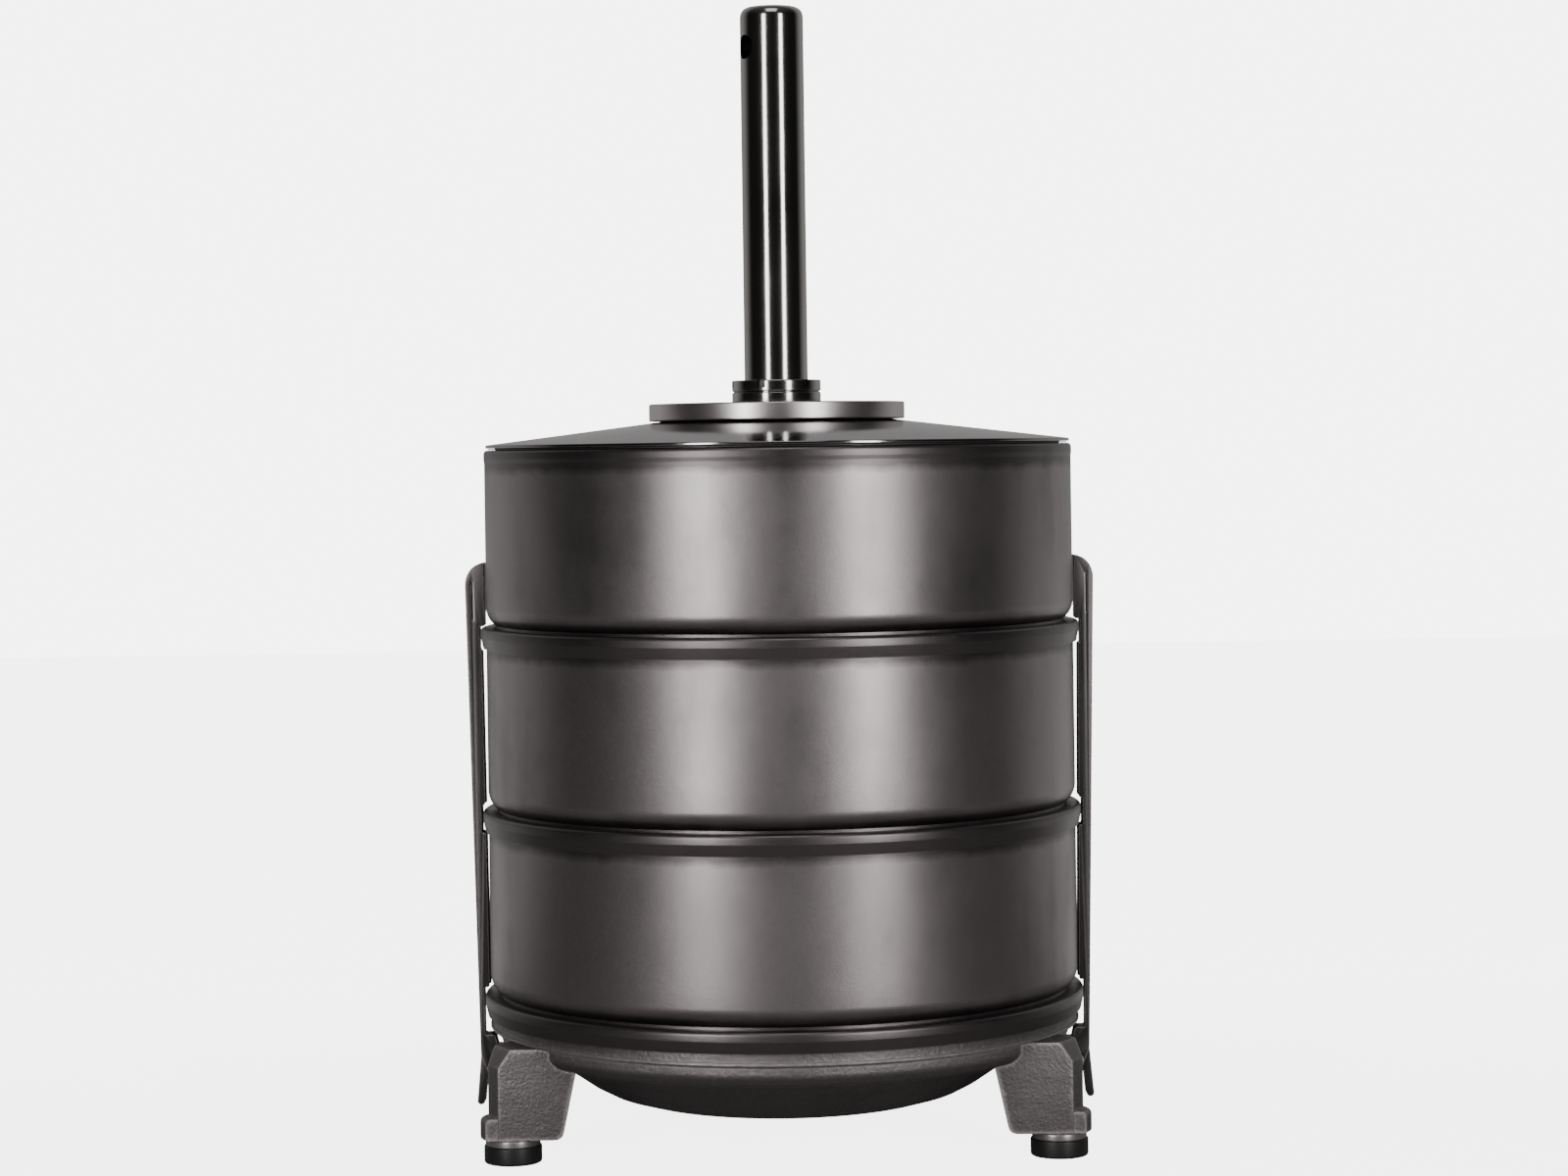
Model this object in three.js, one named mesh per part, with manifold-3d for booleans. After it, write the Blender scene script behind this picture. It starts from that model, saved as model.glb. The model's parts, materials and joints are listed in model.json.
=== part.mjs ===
// An upright compost mixer: three stacked drum sections on a cast tripod base with a sump,
// a conical lid with a bearing disc, a hand-turned shaft with mixing arms, and two draw clamps.
// Units are millimetres, +Z is up, the drum's axis is the Z axis and the floor is z = 0.
// The front is -Y, and the two clamps stand on +X and -X.

import * as THREE from "three";
import { mergeVertices } from "three/addons/utils/BufferGeometryUtils.js";
import Module from "manifold-3d";

const wasm = await Module();
wasm.setup();

// ---------------------------------------------------------------- driving dimensions

const gap = 0.3; // left between pieces that touch
const roundSides = 32; // sides of the drum and of everything that nests in it
const shaftSides = 24;
const smallSides = 12;

// Drum sections
const drumRadius = 300;
const sheet = 2.5;
const wallHeight = 180.4; // from a section's ledge to its top edge
const neckInset = 11.75; // from the wall in to the fold between shoulder and ledge
const shoulderHeight = 21;
const shoulderRadius = 22;
const beadProud = 5.5; // how far the bead stands out from the wall
const beadFace = 9.4; // from the ledge down to the bead's crease
const skirtDrop = 20.5; // from the ledge down to the skirt's lower edge
const topEdge = 11; // width of the turned-in top edge
const sealThickness = 2.5;

// Base casting
const wallCast = 7;
const sumpBottom = 35;
const sumpDepth = 82; // from the bowl's underside up to its rim
const sumpFloorShare = 0.4483; // radius of the bowl's flat floor, as a share of its side's radius
const sumpInset = 10; // from the drum's wall in to the bowl's upright side
const rimProud = 0.5;
const spigotInset = 1.5; // from the drum's wall in to the upstand that the lowest section sits over
const spigotWall = 10.5;
const spigotHeight = 24.4;
const strainerDrop = 12; // from the rim down to the ledge for the strainer
const bossWall = 10.5;
const bossDrop = 17; // from the rim down to the top of the boss around the lower bush
const drainRadius = 16;

// Feet and legs
const legTurns = [90, 210, 330]; // degrees from +X to the back, left and right legs
const padRadius = 28.5;
const padHeight = 17;
const footRingRadius = 27;
const footRingHeight = 7;
const footSpread = 10; // from the drum's wall out to the circle that the feet stand on
const footBossRadius = 32;
const footBossHeight = 21;
const footBoltRadius = 5;
const noseSpread = 21; // from the feet's circle out to the nose of each leg
const legFlank = 30; // degrees between the leg's own direction and each of its sides

// Lid, disc and collar
const lidInset = 1.5; // from the drum's wall in to the lid's edge
const lidSlope = 0.121;
const lidSheet = 3;
const lidEdge = 3.3;
const lidSealThickness = 1.2;
const lidSpigotDepth = 11;
const discRadius = 131;
const discThickness = 17.5;
const discSeat = 13; // from the disc's edge in to where the lid's cone turns flat
const discSpigotRadius = 60;
const collarWall = 12;
const collarHeight = 23;
const collarSlots = 6;
const discScrewRadius = 4;
const discScrewCircle = 95;

// Shaft and bearings
const shaftRadius = 32.5;
const shaftWall = 5.5;
const shaftRise = 405.86; // from the disc's top to the shaft's top
const shaftLift = 25; // from the bowl's underside up to the shaft's foot
const shaftEdge = 12; // radius of the rounded top edge
const headDrop = 82; // length of the shaft's solid head
const crossHoleRadius = 12.5;
const crossHoleDrop = 42; // from the shaft's top to the hole
const crossHoleTurn = THREE.MathUtils.degToRad(210); // the way the hole looks, from +X
const runningGap = 0.5;
const bushWall = 6.2;

// Mixing arms
const armRadius = 9;
const armClear = 38; // from the blades' ends to the drum's wall
const armRise = 53; // from each section's ledge up to its arms
const hubWall = 13.5;
const hubHeight = 36;
const bladeLength = 104;
const bladeWidth = 70;
const bladeThickness = 6;
const bladePitch = THREE.MathUtils.degToRad(35);

// Clamps
const clampWidth = 30;
const clampCheek = 4;
const clampPlate = 4;
const hookPlate = 6;
const hookClear = 2; // from the drum's wall to the hook
const hookLegThickness = 10.5;
const hookRise = 65.5; // from the top ledge to the top of the hook
const hookArch = 22.5; // height of the hook's curved top
const clampProud = { foot: 11, head: 21 }; // from the drum's wall to the strap's outer face
const pivotProud = 0.5; // from the drum's wall to where the lever turns on the base
const pivotDrop = 30; // from the base's rim down to the lever's pivot
const crank = { inboard: 1.5, below: 18 }; // from the lever's pivot to the strap's pin
const pinRadius = 3.5;
const lugHalfWidth = 6.3;
const lugEndRadius = 5;
const leverLength = 56.4; // from the pivot down to the lever's end

// ---------------------------------------------------------------- sizes that follow

const neckRadius = drumRadius - neckInset;
const beadRadius = drumRadius + beadProud;
const topEdgeInner = drumRadius - topEdge;
const legBottom = padHeight + footRingHeight;
const rimTop = sumpBottom + sumpDepth;
const rimRadius = drumRadius + rimProud;
const sumpSide = drumRadius - sumpInset;
const sumpFloorRadius = sumpFloorShare * sumpSide;
const spigotRadius = drumRadius - spigotInset;
const spigotInner = spigotRadius - spigotWall;
const spigotTop = rimTop + spigotHeight;
const strainerSeat = rimTop - strainerDrop;
const footCircle = drumRadius + footSpread;
const legNose = { reach: footCircle + noseSpread, halfWidth: 11.5, corner: 5 };
const legInner = {
  top: Math.min(sumpSide - 25, footCircle - 45), // under the bowl, however far out the feet stand
  topHeight: rimTop - 28,
  bottom: footCircle - 33,
};
const firstLedge = spigotTop + sealThickness + 2 * gap + sheet;
const sectionPitch = wallHeight + sealThickness + 2 * gap + sheet;
const ledges = [0, 1, 2].map((k) => firstLedge + k * sectionPitch);
const drumTop = ledges[2] + wallHeight;
const lidRadius = drumRadius - lidInset;
const lidEdgeBottom = drumTop + lidSealThickness + 2 * gap;
const lidEdgeTop = lidEdgeBottom + lidEdge;
const lidFlatRadius = discRadius - discSeat;
const lidFlat = lidEdgeTop + (lidRadius - lidFlatRadius) * lidSlope;
const discBottom = lidFlat + gap;
const discTop = discBottom + discThickness;
const collarBottom = discTop + gap;
const collarRadius = shaftRadius + 1 + collarWall;
const shaftTop = discTop + shaftRise;
const shaftFoot = sumpBottom + shaftLift;
const bushBore = shaftRadius + runningGap;
const bushRadius = bushBore + bushWall;
const bushSocket = bushRadius + gap;
const bossRadius = bushSocket + bossWall;
const bossTop = rimTop - bossDrop;
const drainReach = (bossRadius + sumpFloorRadius) / 2;
const hubBore = shaftRadius + gap;
const hubRadius = shaftRadius + hubWall;
const armReach = drumRadius - armClear;
const armHeights = ledges.map((ledge) => ledge + armRise);
const hookLegInner = drumRadius + hookClear;
const hookTop = ledges[2] + hookRise;
const clampHeadHeight = hookTop - hookArch;
const clampFootRadius = drumRadius + clampProud.foot;
const clampHeadRadius = drumRadius + clampProud.head;
const pivotRadius = drumRadius + pivotProud;
const pivotHeight = rimTop - pivotDrop;
const leverEnd = pivotHeight - leverLength;

// ---------------------------------------------------------------- helpers

// A closed geometry as a manifold-3d solid, for joining and cutting.
function solid(geometry) {
  const bare = geometry.clone();
  bare.deleteAttribute("normal");
  bare.deleteAttribute("uv");
  const merged = mergeVertices(bare, 1e-3);
  return new wasm.Manifold(
    new wasm.Mesh({
      numProp: 3,
      vertProperties: new Float32Array(merged.attributes.position.array),
      triVerts: new Uint32Array(merged.index.array),
    }),
  );
}

// A manifold-3d solid as a three.js geometry.
function geometryOf(body) {
  const mesh = body.getMesh();
  const geometry = new THREE.BufferGeometry();
  geometry.setAttribute("position", new THREE.BufferAttribute(mesh.vertProperties, 3));
  geometry.setIndex(new THREE.BufferAttribute(mesh.triVerts, 1));
  return geometry.toNonIndexed();
}

const vectors = (points) => points.map(([x, y]) => new THREE.Vector2(x, y));

// Turns an outline of [radius, height] points about the Z axis. The outline runs with the
// material on its left, and either starts and ends on the axis or closes on itself.
function turned(outline, sides = roundSides) {
  const onAxis = outline[0][0] === 0;
  const points = onAxis ? outline : [...outline, outline[0]];
  return new THREE.LatheGeometry(vectors(points), sides).rotateX(Math.PI / 2);
}

// A ring of rectangular section.
function ring(inner, outer, bottom, top, sides = roundSides) {
  return turned(
    [
      [inner, bottom],
      [outer, bottom],
      [outer, top],
      [inner, top],
    ],
    sides,
  );
}

// A round bar along Z.
function post(radius, bottom, top, sides = smallSides) {
  return turned(
    [
      [0, bottom],
      [radius, bottom],
      [radius, top],
      [0, top],
    ],
    sides,
  );
}

// An outline of [x, z] points, given a width along Y with its middle at y = 0.
function slab(outline, width) {
  const shape = new THREE.Shape(vectors(outline));
  return new THREE.ExtrudeGeometry(shape, { depth: width, bevelEnabled: false })
    .translate(0, 0, -width / 2)
    .rotateX(Math.PI / 2);
}

// A round bar along Y with its middle at y = 0.
function crossBar(radius, width, x, z, sides = smallSides) {
  return post(radius, -width / 2, width / 2, sides).rotateX(Math.PI / 2).translate(x, 0, z);
}

// Points on an arc about a centre, from one angle to another in degrees, ends included.
function arc(centreX, centreY, radius, from, to, steps) {
  return Array.from({ length: steps + 1 }, (_, i) => {
    const angle = THREE.MathUtils.degToRad(from + ((to - from) * i) / steps);
    return [centreX + radius * Math.cos(angle), centreY + radius * Math.sin(angle)];
  });
}

// The outline of a sheet of even thickness whose middle follows a path.
function thickened(path, thickness) {
  const half = thickness / 2;
  const points = vectors(path);
  const sideNormal = (a, b) => {
    const along = b.clone().sub(a).normalize();
    return new THREE.Vector2(along.y, -along.x);
  };
  const offsets = points.map((point, i) => {
    const before = i > 0 ? sideNormal(points[i - 1], point) : null;
    const after = i < points.length - 1 ? sideNormal(point, points[i + 1]) : null;
    if (!before || !after) return (before ?? after).multiplyScalar(half);
    const middle = before.clone().add(after).normalize();
    return middle.multiplyScalar(half / middle.dot(before));
  });
  const right = points.map((p, i) => p.clone().add(offsets[i]));
  const left = points.map((p, i) => p.clone().sub(offsets[i])).reverse();
  return [...right, ...left].map((p) => [p.x, p.y]);
}

const materials = {
  cast: { color: 0x3a3735, roughness: 0.75, metalness: 0.7 },
  drum: { color: 0x6b6664, roughness: 0.38, metalness: 1 },
  lid: { color: 0x5f5b59, roughness: 0.25, metalness: 1 },
  machined: { color: 0x9a9592, roughness: 0.3, metalness: 1 },
  shaft: { color: 0x2a2827, roughness: 0.12, metalness: 1 },
  clamp: { color: 0x4a4644, roughness: 0.45, metalness: 1 },
  mixer: { color: 0x8d8986, roughness: 0.4, metalness: 1 },
  bronze: { color: 0x9c7440, roughness: 0.4, metalness: 1 },
  rubber: { color: 0x141414, roughness: 0.8, metalness: 0 },
  fastener: { color: 0x77736f, roughness: 0.35, metalness: 1 },
};

const tumbler = new THREE.Group();

// Adds a named piece. Its geometry is in the part's own frame, or in a group's.
function piece(name, geometry, finish, parent = tumbler) {
  const mesh = new THREE.Mesh(geometry, new THREE.MeshStandardMaterial(materials[finish]));
  mesh.name = name;
  parent.add(mesh);
}

// ---------------------------------------------------------------- base casting

// A radius between the bowl's flat floor, at 0, and its upright side, at 1.
const flare = (share) => sumpFloorRadius + share * (sumpSide - sumpFloorRadius);

// Outside of the sump bowl, the rim and the upstand, without its hollow.
function bowlBody() {
  return turned([
    [0, sumpBottom],
    [flare(0), sumpBottom],
    [flare(0.175), sumpBottom + 4],
    [flare(0.325), sumpBottom + 11],
    [flare(0.4375), sumpBottom + 20.5],
    [flare(0.625), rimTop - 41],
    [flare(0.78125), rimTop - 31],
    [flare(0.9375), rimTop - 24],
    [flare(1), rimTop - 16],
    [flare(1), rimTop - 5],
    [rimRadius, rimTop - 3],
    [rimRadius, rimTop],
    [spigotRadius, rimTop],
    [spigotRadius, spigotTop],
    [0, spigotTop],
  ]);
}

// The hollow of the bowl, around the boss that carries the lower bearing.
function bowlHollow() {
  const over = spigotTop + 10;
  return turned([
    [bossRadius, sumpBottom + wallCast],
    [flare(0) - 2, sumpBottom + wallCast],
    [flare(0.15), sumpBottom + wallCast + 4],
    [flare(0.4), sumpBottom + wallCast + 21],
    [flare(0.5875), rimTop - wallCast - 27],
    [flare(1) - wallCast - 6, rimTop - wallCast - 9],
    [flare(1) - wallCast, rimTop - wallCast - 7],
    [flare(1) - wallCast, strainerSeat],
    [spigotInner, strainerSeat],
    [spigotInner, over],
    [0, over],
    [0, bossTop],
    [bossRadius, bossTop],
  ]);
}

// The plan of a leg along +X: a wedge with two straight sides, from the bowl out to a nose.
function legPlan(nose) {
  const side = THREE.MathUtils.degToRad(legFlank);
  const rootX = legInner.top - 16;
  const rootY = legNose.halfWidth + (legNose.reach - rootX) * Math.tan(side);
  return new THREE.Shape(vectors([...nose, [rootX, rootY], [rootX, -rootY]]));
}

// The two rounded corners of a leg's blunt nose.
function bluntNose() {
  const { reach, halfWidth, corner } = legNose;
  const turn = 90 - legFlank;
  const setIn = corner * Math.tan(THREE.MathUtils.degToRad(turn / 2));
  return [
    ...arc(reach - corner, setIn - halfWidth, corner, -turn, 0, 2),
    ...arc(reach - corner, halfWidth - setIn, corner, 0, turn, 2),
  ];
}

// One leg, along +X, without its foot boss.
function leg() {
  const top = rimTop - 4;
  const tall = { depth: top - legBottom, bevelEnabled: false };
  const wedge = new THREE.ExtrudeGeometry(legPlan(bluntNose()), tall).translate(0, 0, legBottom);
  const noseReach = legNose.reach + 1;
  const side = slab(
    [
      [legInner.bottom, legBottom - 1],
      [noseReach, legBottom - 1],
      [noseReach, rimTop - 24],
      [legNose.reach - 11, top + 1],
      [legInner.top + 15, top + 1],
      [legInner.top - 3, legInner.topHeight + 8],
      [legInner.top, legInner.topHeight],
    ],
    4 * footBossRadius + 100,
  );
  return solid(wedge).intersect(solid(side));
}

// A round boss over a foot. On the two front legs it is flush with the legs' front faces, which
// lie in one plane.
function footBoss(turn) {
  const flank = THREE.MathUtils.degToRad(legFlank);
  const frontFace = legNose.reach * Math.sin(flank) + legNose.halfWidth * Math.cos(flank);
  const boss = solid(
    post(footBossRadius, legBottom, legBottom + footBossHeight, 24).translate(footCircle, 0, 0),
  );
  const span = 3 * drumRadius;
  const kept = new THREE.BoxGeometry(span, span, span).translate(0, span / 2 - frontFace, 0);
  return boss.rotate([0, 0, turn]).intersect(solid(kept));
}

// The tongue on +X that carries a clamp's lever.
function clampLug() {
  const end = arc(pivotRadius, pivotHeight, lugEndRadius, -90, 90, 6);
  const tongue = slab(
    [[sumpSide - 24, pivotHeight - lugEndRadius], ...end, [sumpSide - 24, pivotHeight + lugEndRadius]],
    2 * lugHalfWidth,
  );
  return solid(tongue);
}

function baseCasting() {
  let body = solid(bowlBody());
  for (const turn of legTurns) body = body.add(leg().rotate([0, 0, turn])).add(footBoss(turn));
  for (const turn of [0, 180]) body = body.add(clampLug().rotate([0, 0, turn]));
  body = body.subtract(solid(bowlHollow()));

  const drainBoss = post(drainRadius + 8, sumpBottom + 2, sumpBottom + 15, 20);
  body = body.add(solid(drainBoss.translate(0, -drainReach, 0)));
  const drainHole = post(drainRadius + gap, sumpBottom - 5, sumpBottom + 30, 20);
  body = body.subtract(solid(drainHole.translate(0, -drainReach, 0)));

  const socket = post(bushSocket, shaftFoot - 5, bossTop + 5, shaftSides);
  body = body.subtract(solid(socket));
  for (const turn of legTurns) {
    const hole = post(footBoltRadius + gap, legBottom - 5, legBottom + 26, 12);
    body = body.subtract(solid(hole.translate(footCircle, 0, 0)).rotate([0, 0, turn]));
  }
  for (const side of [1, -1]) {
    const bore = crossBar(pinRadius + gap, 3 * lugHalfWidth, side * pivotRadius, pivotHeight, 12);
    body = body.subtract(solid(bore));
  }
  return geometryOf(body);
}

piece("base_casting", baseCasting(), "cast");

// ---------------------------------------------------------------- sump fittings

// A slotted plate over the sump, resting on the ledge inside the casting.
function strainerPlate() {
  const edge = spigotInner - 4 * gap;
  const plate = new THREE.Shape(vectors(arc(0, 0, edge, 0, 360, roundSides).slice(0, -1)));
  const centre = arc(0, 0, bossRadius + 1, 0, 360, smallSides).slice(0, -1);
  plate.holes.push(new THREE.Path(vectors(centre)));
  const slotHalfWidth = 5;
  const outwards = (share) => bossRadius + share * (spigotInner - bossRadius);
  const slotRows = [
    { from: outwards(0.126), to: outwards(0.42), count: 12 },
    { from: outwards(0.546), to: outwards(0.891), count: 20 },
  ];
  for (const row of slotRows) {
    for (let k = 0; k < row.count; k++) {
      const turn = ((k + 0.5) * 2 * Math.PI) / row.count;
      const corners = [
        [row.from, -slotHalfWidth],
        [row.to, -slotHalfWidth],
        [row.to, slotHalfWidth],
        [row.from, slotHalfWidth],
      ].map(([x, y]) => new THREE.Vector2(x, y).rotateAround(new THREE.Vector2(), turn));
      plate.holes.push(new THREE.Path(corners));
    }
  }
  const thickness = 3;
  return new THREE.ExtrudeGeometry(plate, { depth: thickness, bevelEnabled: false }).translate(
    0,
    0,
    strainerSeat + gap,
  );
}

// A flush plug with a hexagon socket in its underside.
function drainPlug() {
  const bottom = sumpBottom + gap;
  const plug = solid(post(drainRadius, bottom, sumpBottom + 14, 20));
  const socket = solid(post(7, bottom - 1, bottom + 6, 6));
  return geometryOf(plug.subtract(socket)).translate(0, -drainReach, 0);
}

piece("strainer_plate", strainerPlate(), "mixer");
piece("drain_plug", drainPlug(), "fastener");

// ---------------------------------------------------------------- feet

function footPad() {
  const edge = 2.5;
  const headRoom = 10;
  return turned(
    [
      [8.5, 0],
      [padRadius - edge, 0],
      [padRadius, edge],
      [padRadius, padHeight],
      [footBoltRadius + gap, padHeight],
      [footBoltRadius + gap, headRoom],
      [8.5, headRoom],
    ],
    shaftSides,
  );
}

function footBolt() {
  return turned(
    [
      [0, 4],
      [8, 4],
      [8, 10 - gap],
      [footBoltRadius, 10 - gap],
      [footBoltRadius, legBottom + 20],
      [0, legBottom + 20],
    ],
    12,
  );
}

function foot(name, turn) {
  const place = new THREE.Group();
  place.rotation.z = turn;
  tumbler.add(place);
  const ringGeometry = ring(
    footBoltRadius + gap,
    footRingRadius,
    padHeight + gap,
    legBottom - gap,
    shaftSides,
  );
  piece(`foot_pad_${name}`, footPad().translate(footCircle, 0, 0), "rubber", place);
  piece(`foot_ring_${name}`, ringGeometry.translate(footCircle, 0, 0), "fastener", place);
  piece(`foot_bolt_${name}`, footBolt().translate(footCircle, 0, 0), "fastener", place);
}

["back", "left", "right"].forEach((name, k) => foot(name, THREE.MathUtils.degToRad(legTurns[k])));

// ---------------------------------------------------------------- drum

// One spun section, from its skirt up over the ledge, neck and shoulder to its turned-in top edge.
function drumSection(ledge) {
  const half = sheet / 2;
  const wall = drumRadius - half;
  const neck = neckRadius + half;
  const bead = beadRadius - half;
  const top = ledge + wallHeight;
  const shoulderCentre = wall - shoulderRadius;
  const shoulderTurn = THREE.MathUtils.radToDeg(Math.acos((neck - shoulderCentre) / shoulderRadius));
  const shoulder = arc(shoulderCentre, ledge + shoulderHeight, shoulderRadius, -shoulderTurn, 0, 2);
  return turned(
    thickened(
      [
        [wall + 3.15, ledge - skirtDrop],
        [bead, ledge - beadFace],
        [bead, ledge - half],
        [neck, ledge - half],
        ...shoulder,
        [wall, top - 3],
        [wall - 2, top - half],
        [topEdgeInner, top - half],
      ],
      sheet,
    ),
  );
}

["lower", "middle", "upper"].forEach((name, k) => {
  piece(`drum_section_${name}`, drumSection(ledges[k]), "drum");
});

// Flat rubber rings between a top edge and the ledge above it.
["base_seal", "joint_seal_lower", "joint_seal_upper"].forEach((name, k) => {
  const bottom = ledges[k] - sheet - gap - sealThickness;
  piece(name, ring(topEdgeInner + 2, drumRadius - 3, bottom, bottom + sealThickness), "rubber");
});

// ---------------------------------------------------------------- lid

function lidCone() {
  const spigot = topEdgeInner - 2 * gap;
  const boreRadius = discSpigotRadius + gap;
  const cone = turned([
    [spigot - lidSheet, lidEdgeBottom - lidSpigotDepth],
    [spigot, lidEdgeBottom - lidSpigotDepth],
    [spigot, lidEdgeBottom],
    [lidRadius, lidEdgeBottom],
    [lidRadius, lidEdgeTop],
    [lidFlatRadius, lidFlat],
    [boreRadius, lidFlat],
    [boreRadius, lidFlat - lidSheet],
    [lidFlatRadius, lidFlat - lidSheet],
    [spigot - lidSheet, lidEdgeTop - lidSheet + (lidRadius - spigot + lidSheet) * lidSlope],
  ]);
  return geometryOf(solid(cone).subtract(discScrewHoles(lidFlat - 20, lidFlat + 5)));
}

function discScrewHoles(bottom, top) {
  const holes = discScrewTurns.map((turn) =>
    solid(post(discScrewRadius + gap, bottom, top, 12).translate(discScrewCircle, 0, 0)).rotate([
      0,
      0,
      turn,
    ]),
  );
  return holes.reduce((all, hole) => all.add(hole));
}

const discScrewTurns = [45, 135, 225, 315];

// The disc stands on the lid, and its spigot carries the upper bush.
function bearingDisc() {
  const edge = 1;
  const disc = turned([
    [bushSocket, lidEdgeTop + 1],
    [discSpigotRadius, lidEdgeTop + 1],
    [discSpigotRadius, discBottom],
    [discRadius - edge, discBottom],
    [discRadius, discBottom + edge],
    [discRadius, discTop - edge],
    [discRadius - edge, discTop],
    [bushSocket, discTop],
  ]);
  return geometryOf(solid(disc).subtract(discScrewHoles(discBottom - 5, discTop - 4)));
}

// Hexagon screws from inside the lid into blind holes in the disc.
function discScrew() {
  const seat = lidFlat - lidSheet - gap;
  return turned(
    [
      [0, seat - 5.3],
      [7.5, seat - 5.3],
      [7.5, seat],
      [discScrewRadius, seat],
      [discScrewRadius, discTop - 5],
      [0, discTop - 5],
    ],
    12,
  );
}

// A slotted ring nut that keeps the upper bush in place.
function slottedCollar() {
  const top = collarBottom + collarHeight;
  const groove = collarBottom + 10.5;
  const collar = turned(
    [
      [bushBore + 0.6, collarBottom],
      [collarRadius, collarBottom],
      [collarRadius, groove],
      [collarRadius - 1, groove + 0.6],
      [collarRadius, groove + 1.2],
      [collarRadius, top - 1],
      [collarRadius - 1, top],
      [bushBore + 0.6, top],
    ],
    shaftSides,
  );
  let body = solid(collar);
  const slotWidth = 9;
  const slotDepth = 6;
  for (let k = 0; k < collarSlots; k++) {
    const slot = new THREE.BoxGeometry(2 * slotDepth, slotWidth, 2 * 8);
    const cut = solid(slot.translate(collarRadius, 0, top));
    body = body.subtract(cut.rotate([0, 0, 190 + (k * 360) / collarSlots]));
  }
  return geometryOf(body);
}

piece("lid_seal", ring(topEdgeInner + 1, drumRadius - 4, drumTop + gap, lidEdgeBottom - gap), "rubber");
piece("lid_cone", lidCone(), "lid");
piece("bearing_disc", bearingDisc(), "machined");
piece("upper_bush", ring(bushBore, bushRadius, lidEdgeTop + 2, discTop - gap, shaftSides), "bronze");
piece("slotted_collar", slottedCollar(), "shaft");
discScrewTurns.forEach((turn, k) => {
  const screw = discScrew().translate(discScrewCircle, 0, 0);
  piece(`disc_screw_${k + 1}`, screw.rotateZ(THREE.MathUtils.degToRad(turn)), "fastener");
});

// ---------------------------------------------------------------- shaft and bearings

const shaftBore = shaftRadius - shaftWall;
const headBottom = shaftTop - headDrop;

// The tube that the hubs are fixed to, open at both ends.
function driveShaft() {
  return ring(shaftBore, shaftRadius, shaftFoot, headBottom, shaftSides);
}

// A solid head on the tube, with a spigot inside it and the cross hole for the turning bar.
function shaftHead() {
  const spigotDepth = 25;
  const head = turned(
    [
      [0, headBottom - spigotDepth],
      [shaftBore - gap, headBottom - spigotDepth],
      [shaftBore - gap, headBottom + gap],
      [shaftRadius, headBottom + gap],
      ...arc(shaftRadius - shaftEdge, shaftTop - shaftEdge, shaftEdge, 0, 90, 3),
      [0, shaftTop],
    ],
    shaftSides,
  );
  const hole = crossBar(crossHoleRadius, 3 * shaftRadius, 0, shaftTop - crossHoleDrop, 16);
  const turn = THREE.MathUtils.radToDeg(crossHoleTurn) - 90;
  return geometryOf(solid(head).subtract(solid(hole).rotate([0, 0, turn])));
}

piece("drive_shaft", driveShaft(), "shaft");
piece("shaft_head", shaftHead(), "shaft");
piece(
  "lower_bush",
  ring(bushBore, bushRadius, shaftFoot + gap, bossTop - gap, shaftSides),
  "bronze",
);
piece(
  "thrust_washer",
  ring(shaftRadius - shaftWall - 6, bushRadius, shaftFoot - 5 + gap, shaftFoot - gap, shaftSides),
  "bronze",
);

// ---------------------------------------------------------------- mixing arms

// A hub with a hole for an arm on each side and a set screw between them.
function mixerHub(height) {
  const body = solid(
    ring(hubBore, hubRadius, height - hubHeight / 2, height + hubHeight / 2, shaftSides),
  );
  const armHole = post(armRadius + gap, -hubRadius - 5, hubRadius + 5).rotateY(Math.PI / 2);
  const screwHole = post(4 + gap, 0, hubRadius + 5, 12).rotateX(-Math.PI / 2);
  const holes = solid(armHole).subtract(solid(post(shaftRadius, -20, 20, shaftSides)));
  return geometryOf(
    body.subtract(holes.translate([0, 0, height])).subtract(solid(screwHole).translate([0, 0, height])),
  );
}

// A round arm along +X with a pitched blade at its end.
function mixerArm() {
  const arm = post(armRadius, hubBore + 2, armReach - 4).rotateY(Math.PI / 2);
  const blade = new THREE.BoxGeometry(bladeLength, bladeThickness, bladeWidth)
    .rotateX(bladePitch)
    .translate(armReach - bladeLength / 2, 0, 0);
  return solid(arm).add(solid(blade));
}

function mixerLevel(name, height, turn) {
  const place = new THREE.Group();
  place.rotation.z = turn;
  tumbler.add(place);
  piece(`mixer_hub_${name}`, mixerHub(height), "mixer", place);
  const screw = post(4, hubBore + 0.4, hubRadius, 12).rotateX(-Math.PI / 2);
  piece(`hub_screw_${name}`, screw.translate(0, 0, height), "fastener", place);
  ["a", "b"].forEach((side, k) => {
    const arm = geometryOf(mixerArm().rotate([0, 0, 180 * k]));
    piece(`mixer_arm_${name}_${side}`, arm.translate(0, 0, height), "mixer", place);
  });
}

["lower", "middle", "upper"].forEach((name, k) => {
  mixerLevel(name, armHeights[k], k % 2 ? 0 : Math.PI / 2);
});

// ---------------------------------------------------------------- clamps

const strapLean = (clampHeadRadius - clampFootRadius) / (clampHeadHeight - pivotHeight);
const strapOuter = (height) => clampFootRadius + (height - pivotHeight) * strapLean;
const pinPlace = { x: pivotRadius - crank.inboard, z: pivotHeight - crank.below };
const beadClear = beadRadius + 1.8;

const hookBottom = ledges[2] + 0.5;

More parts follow.
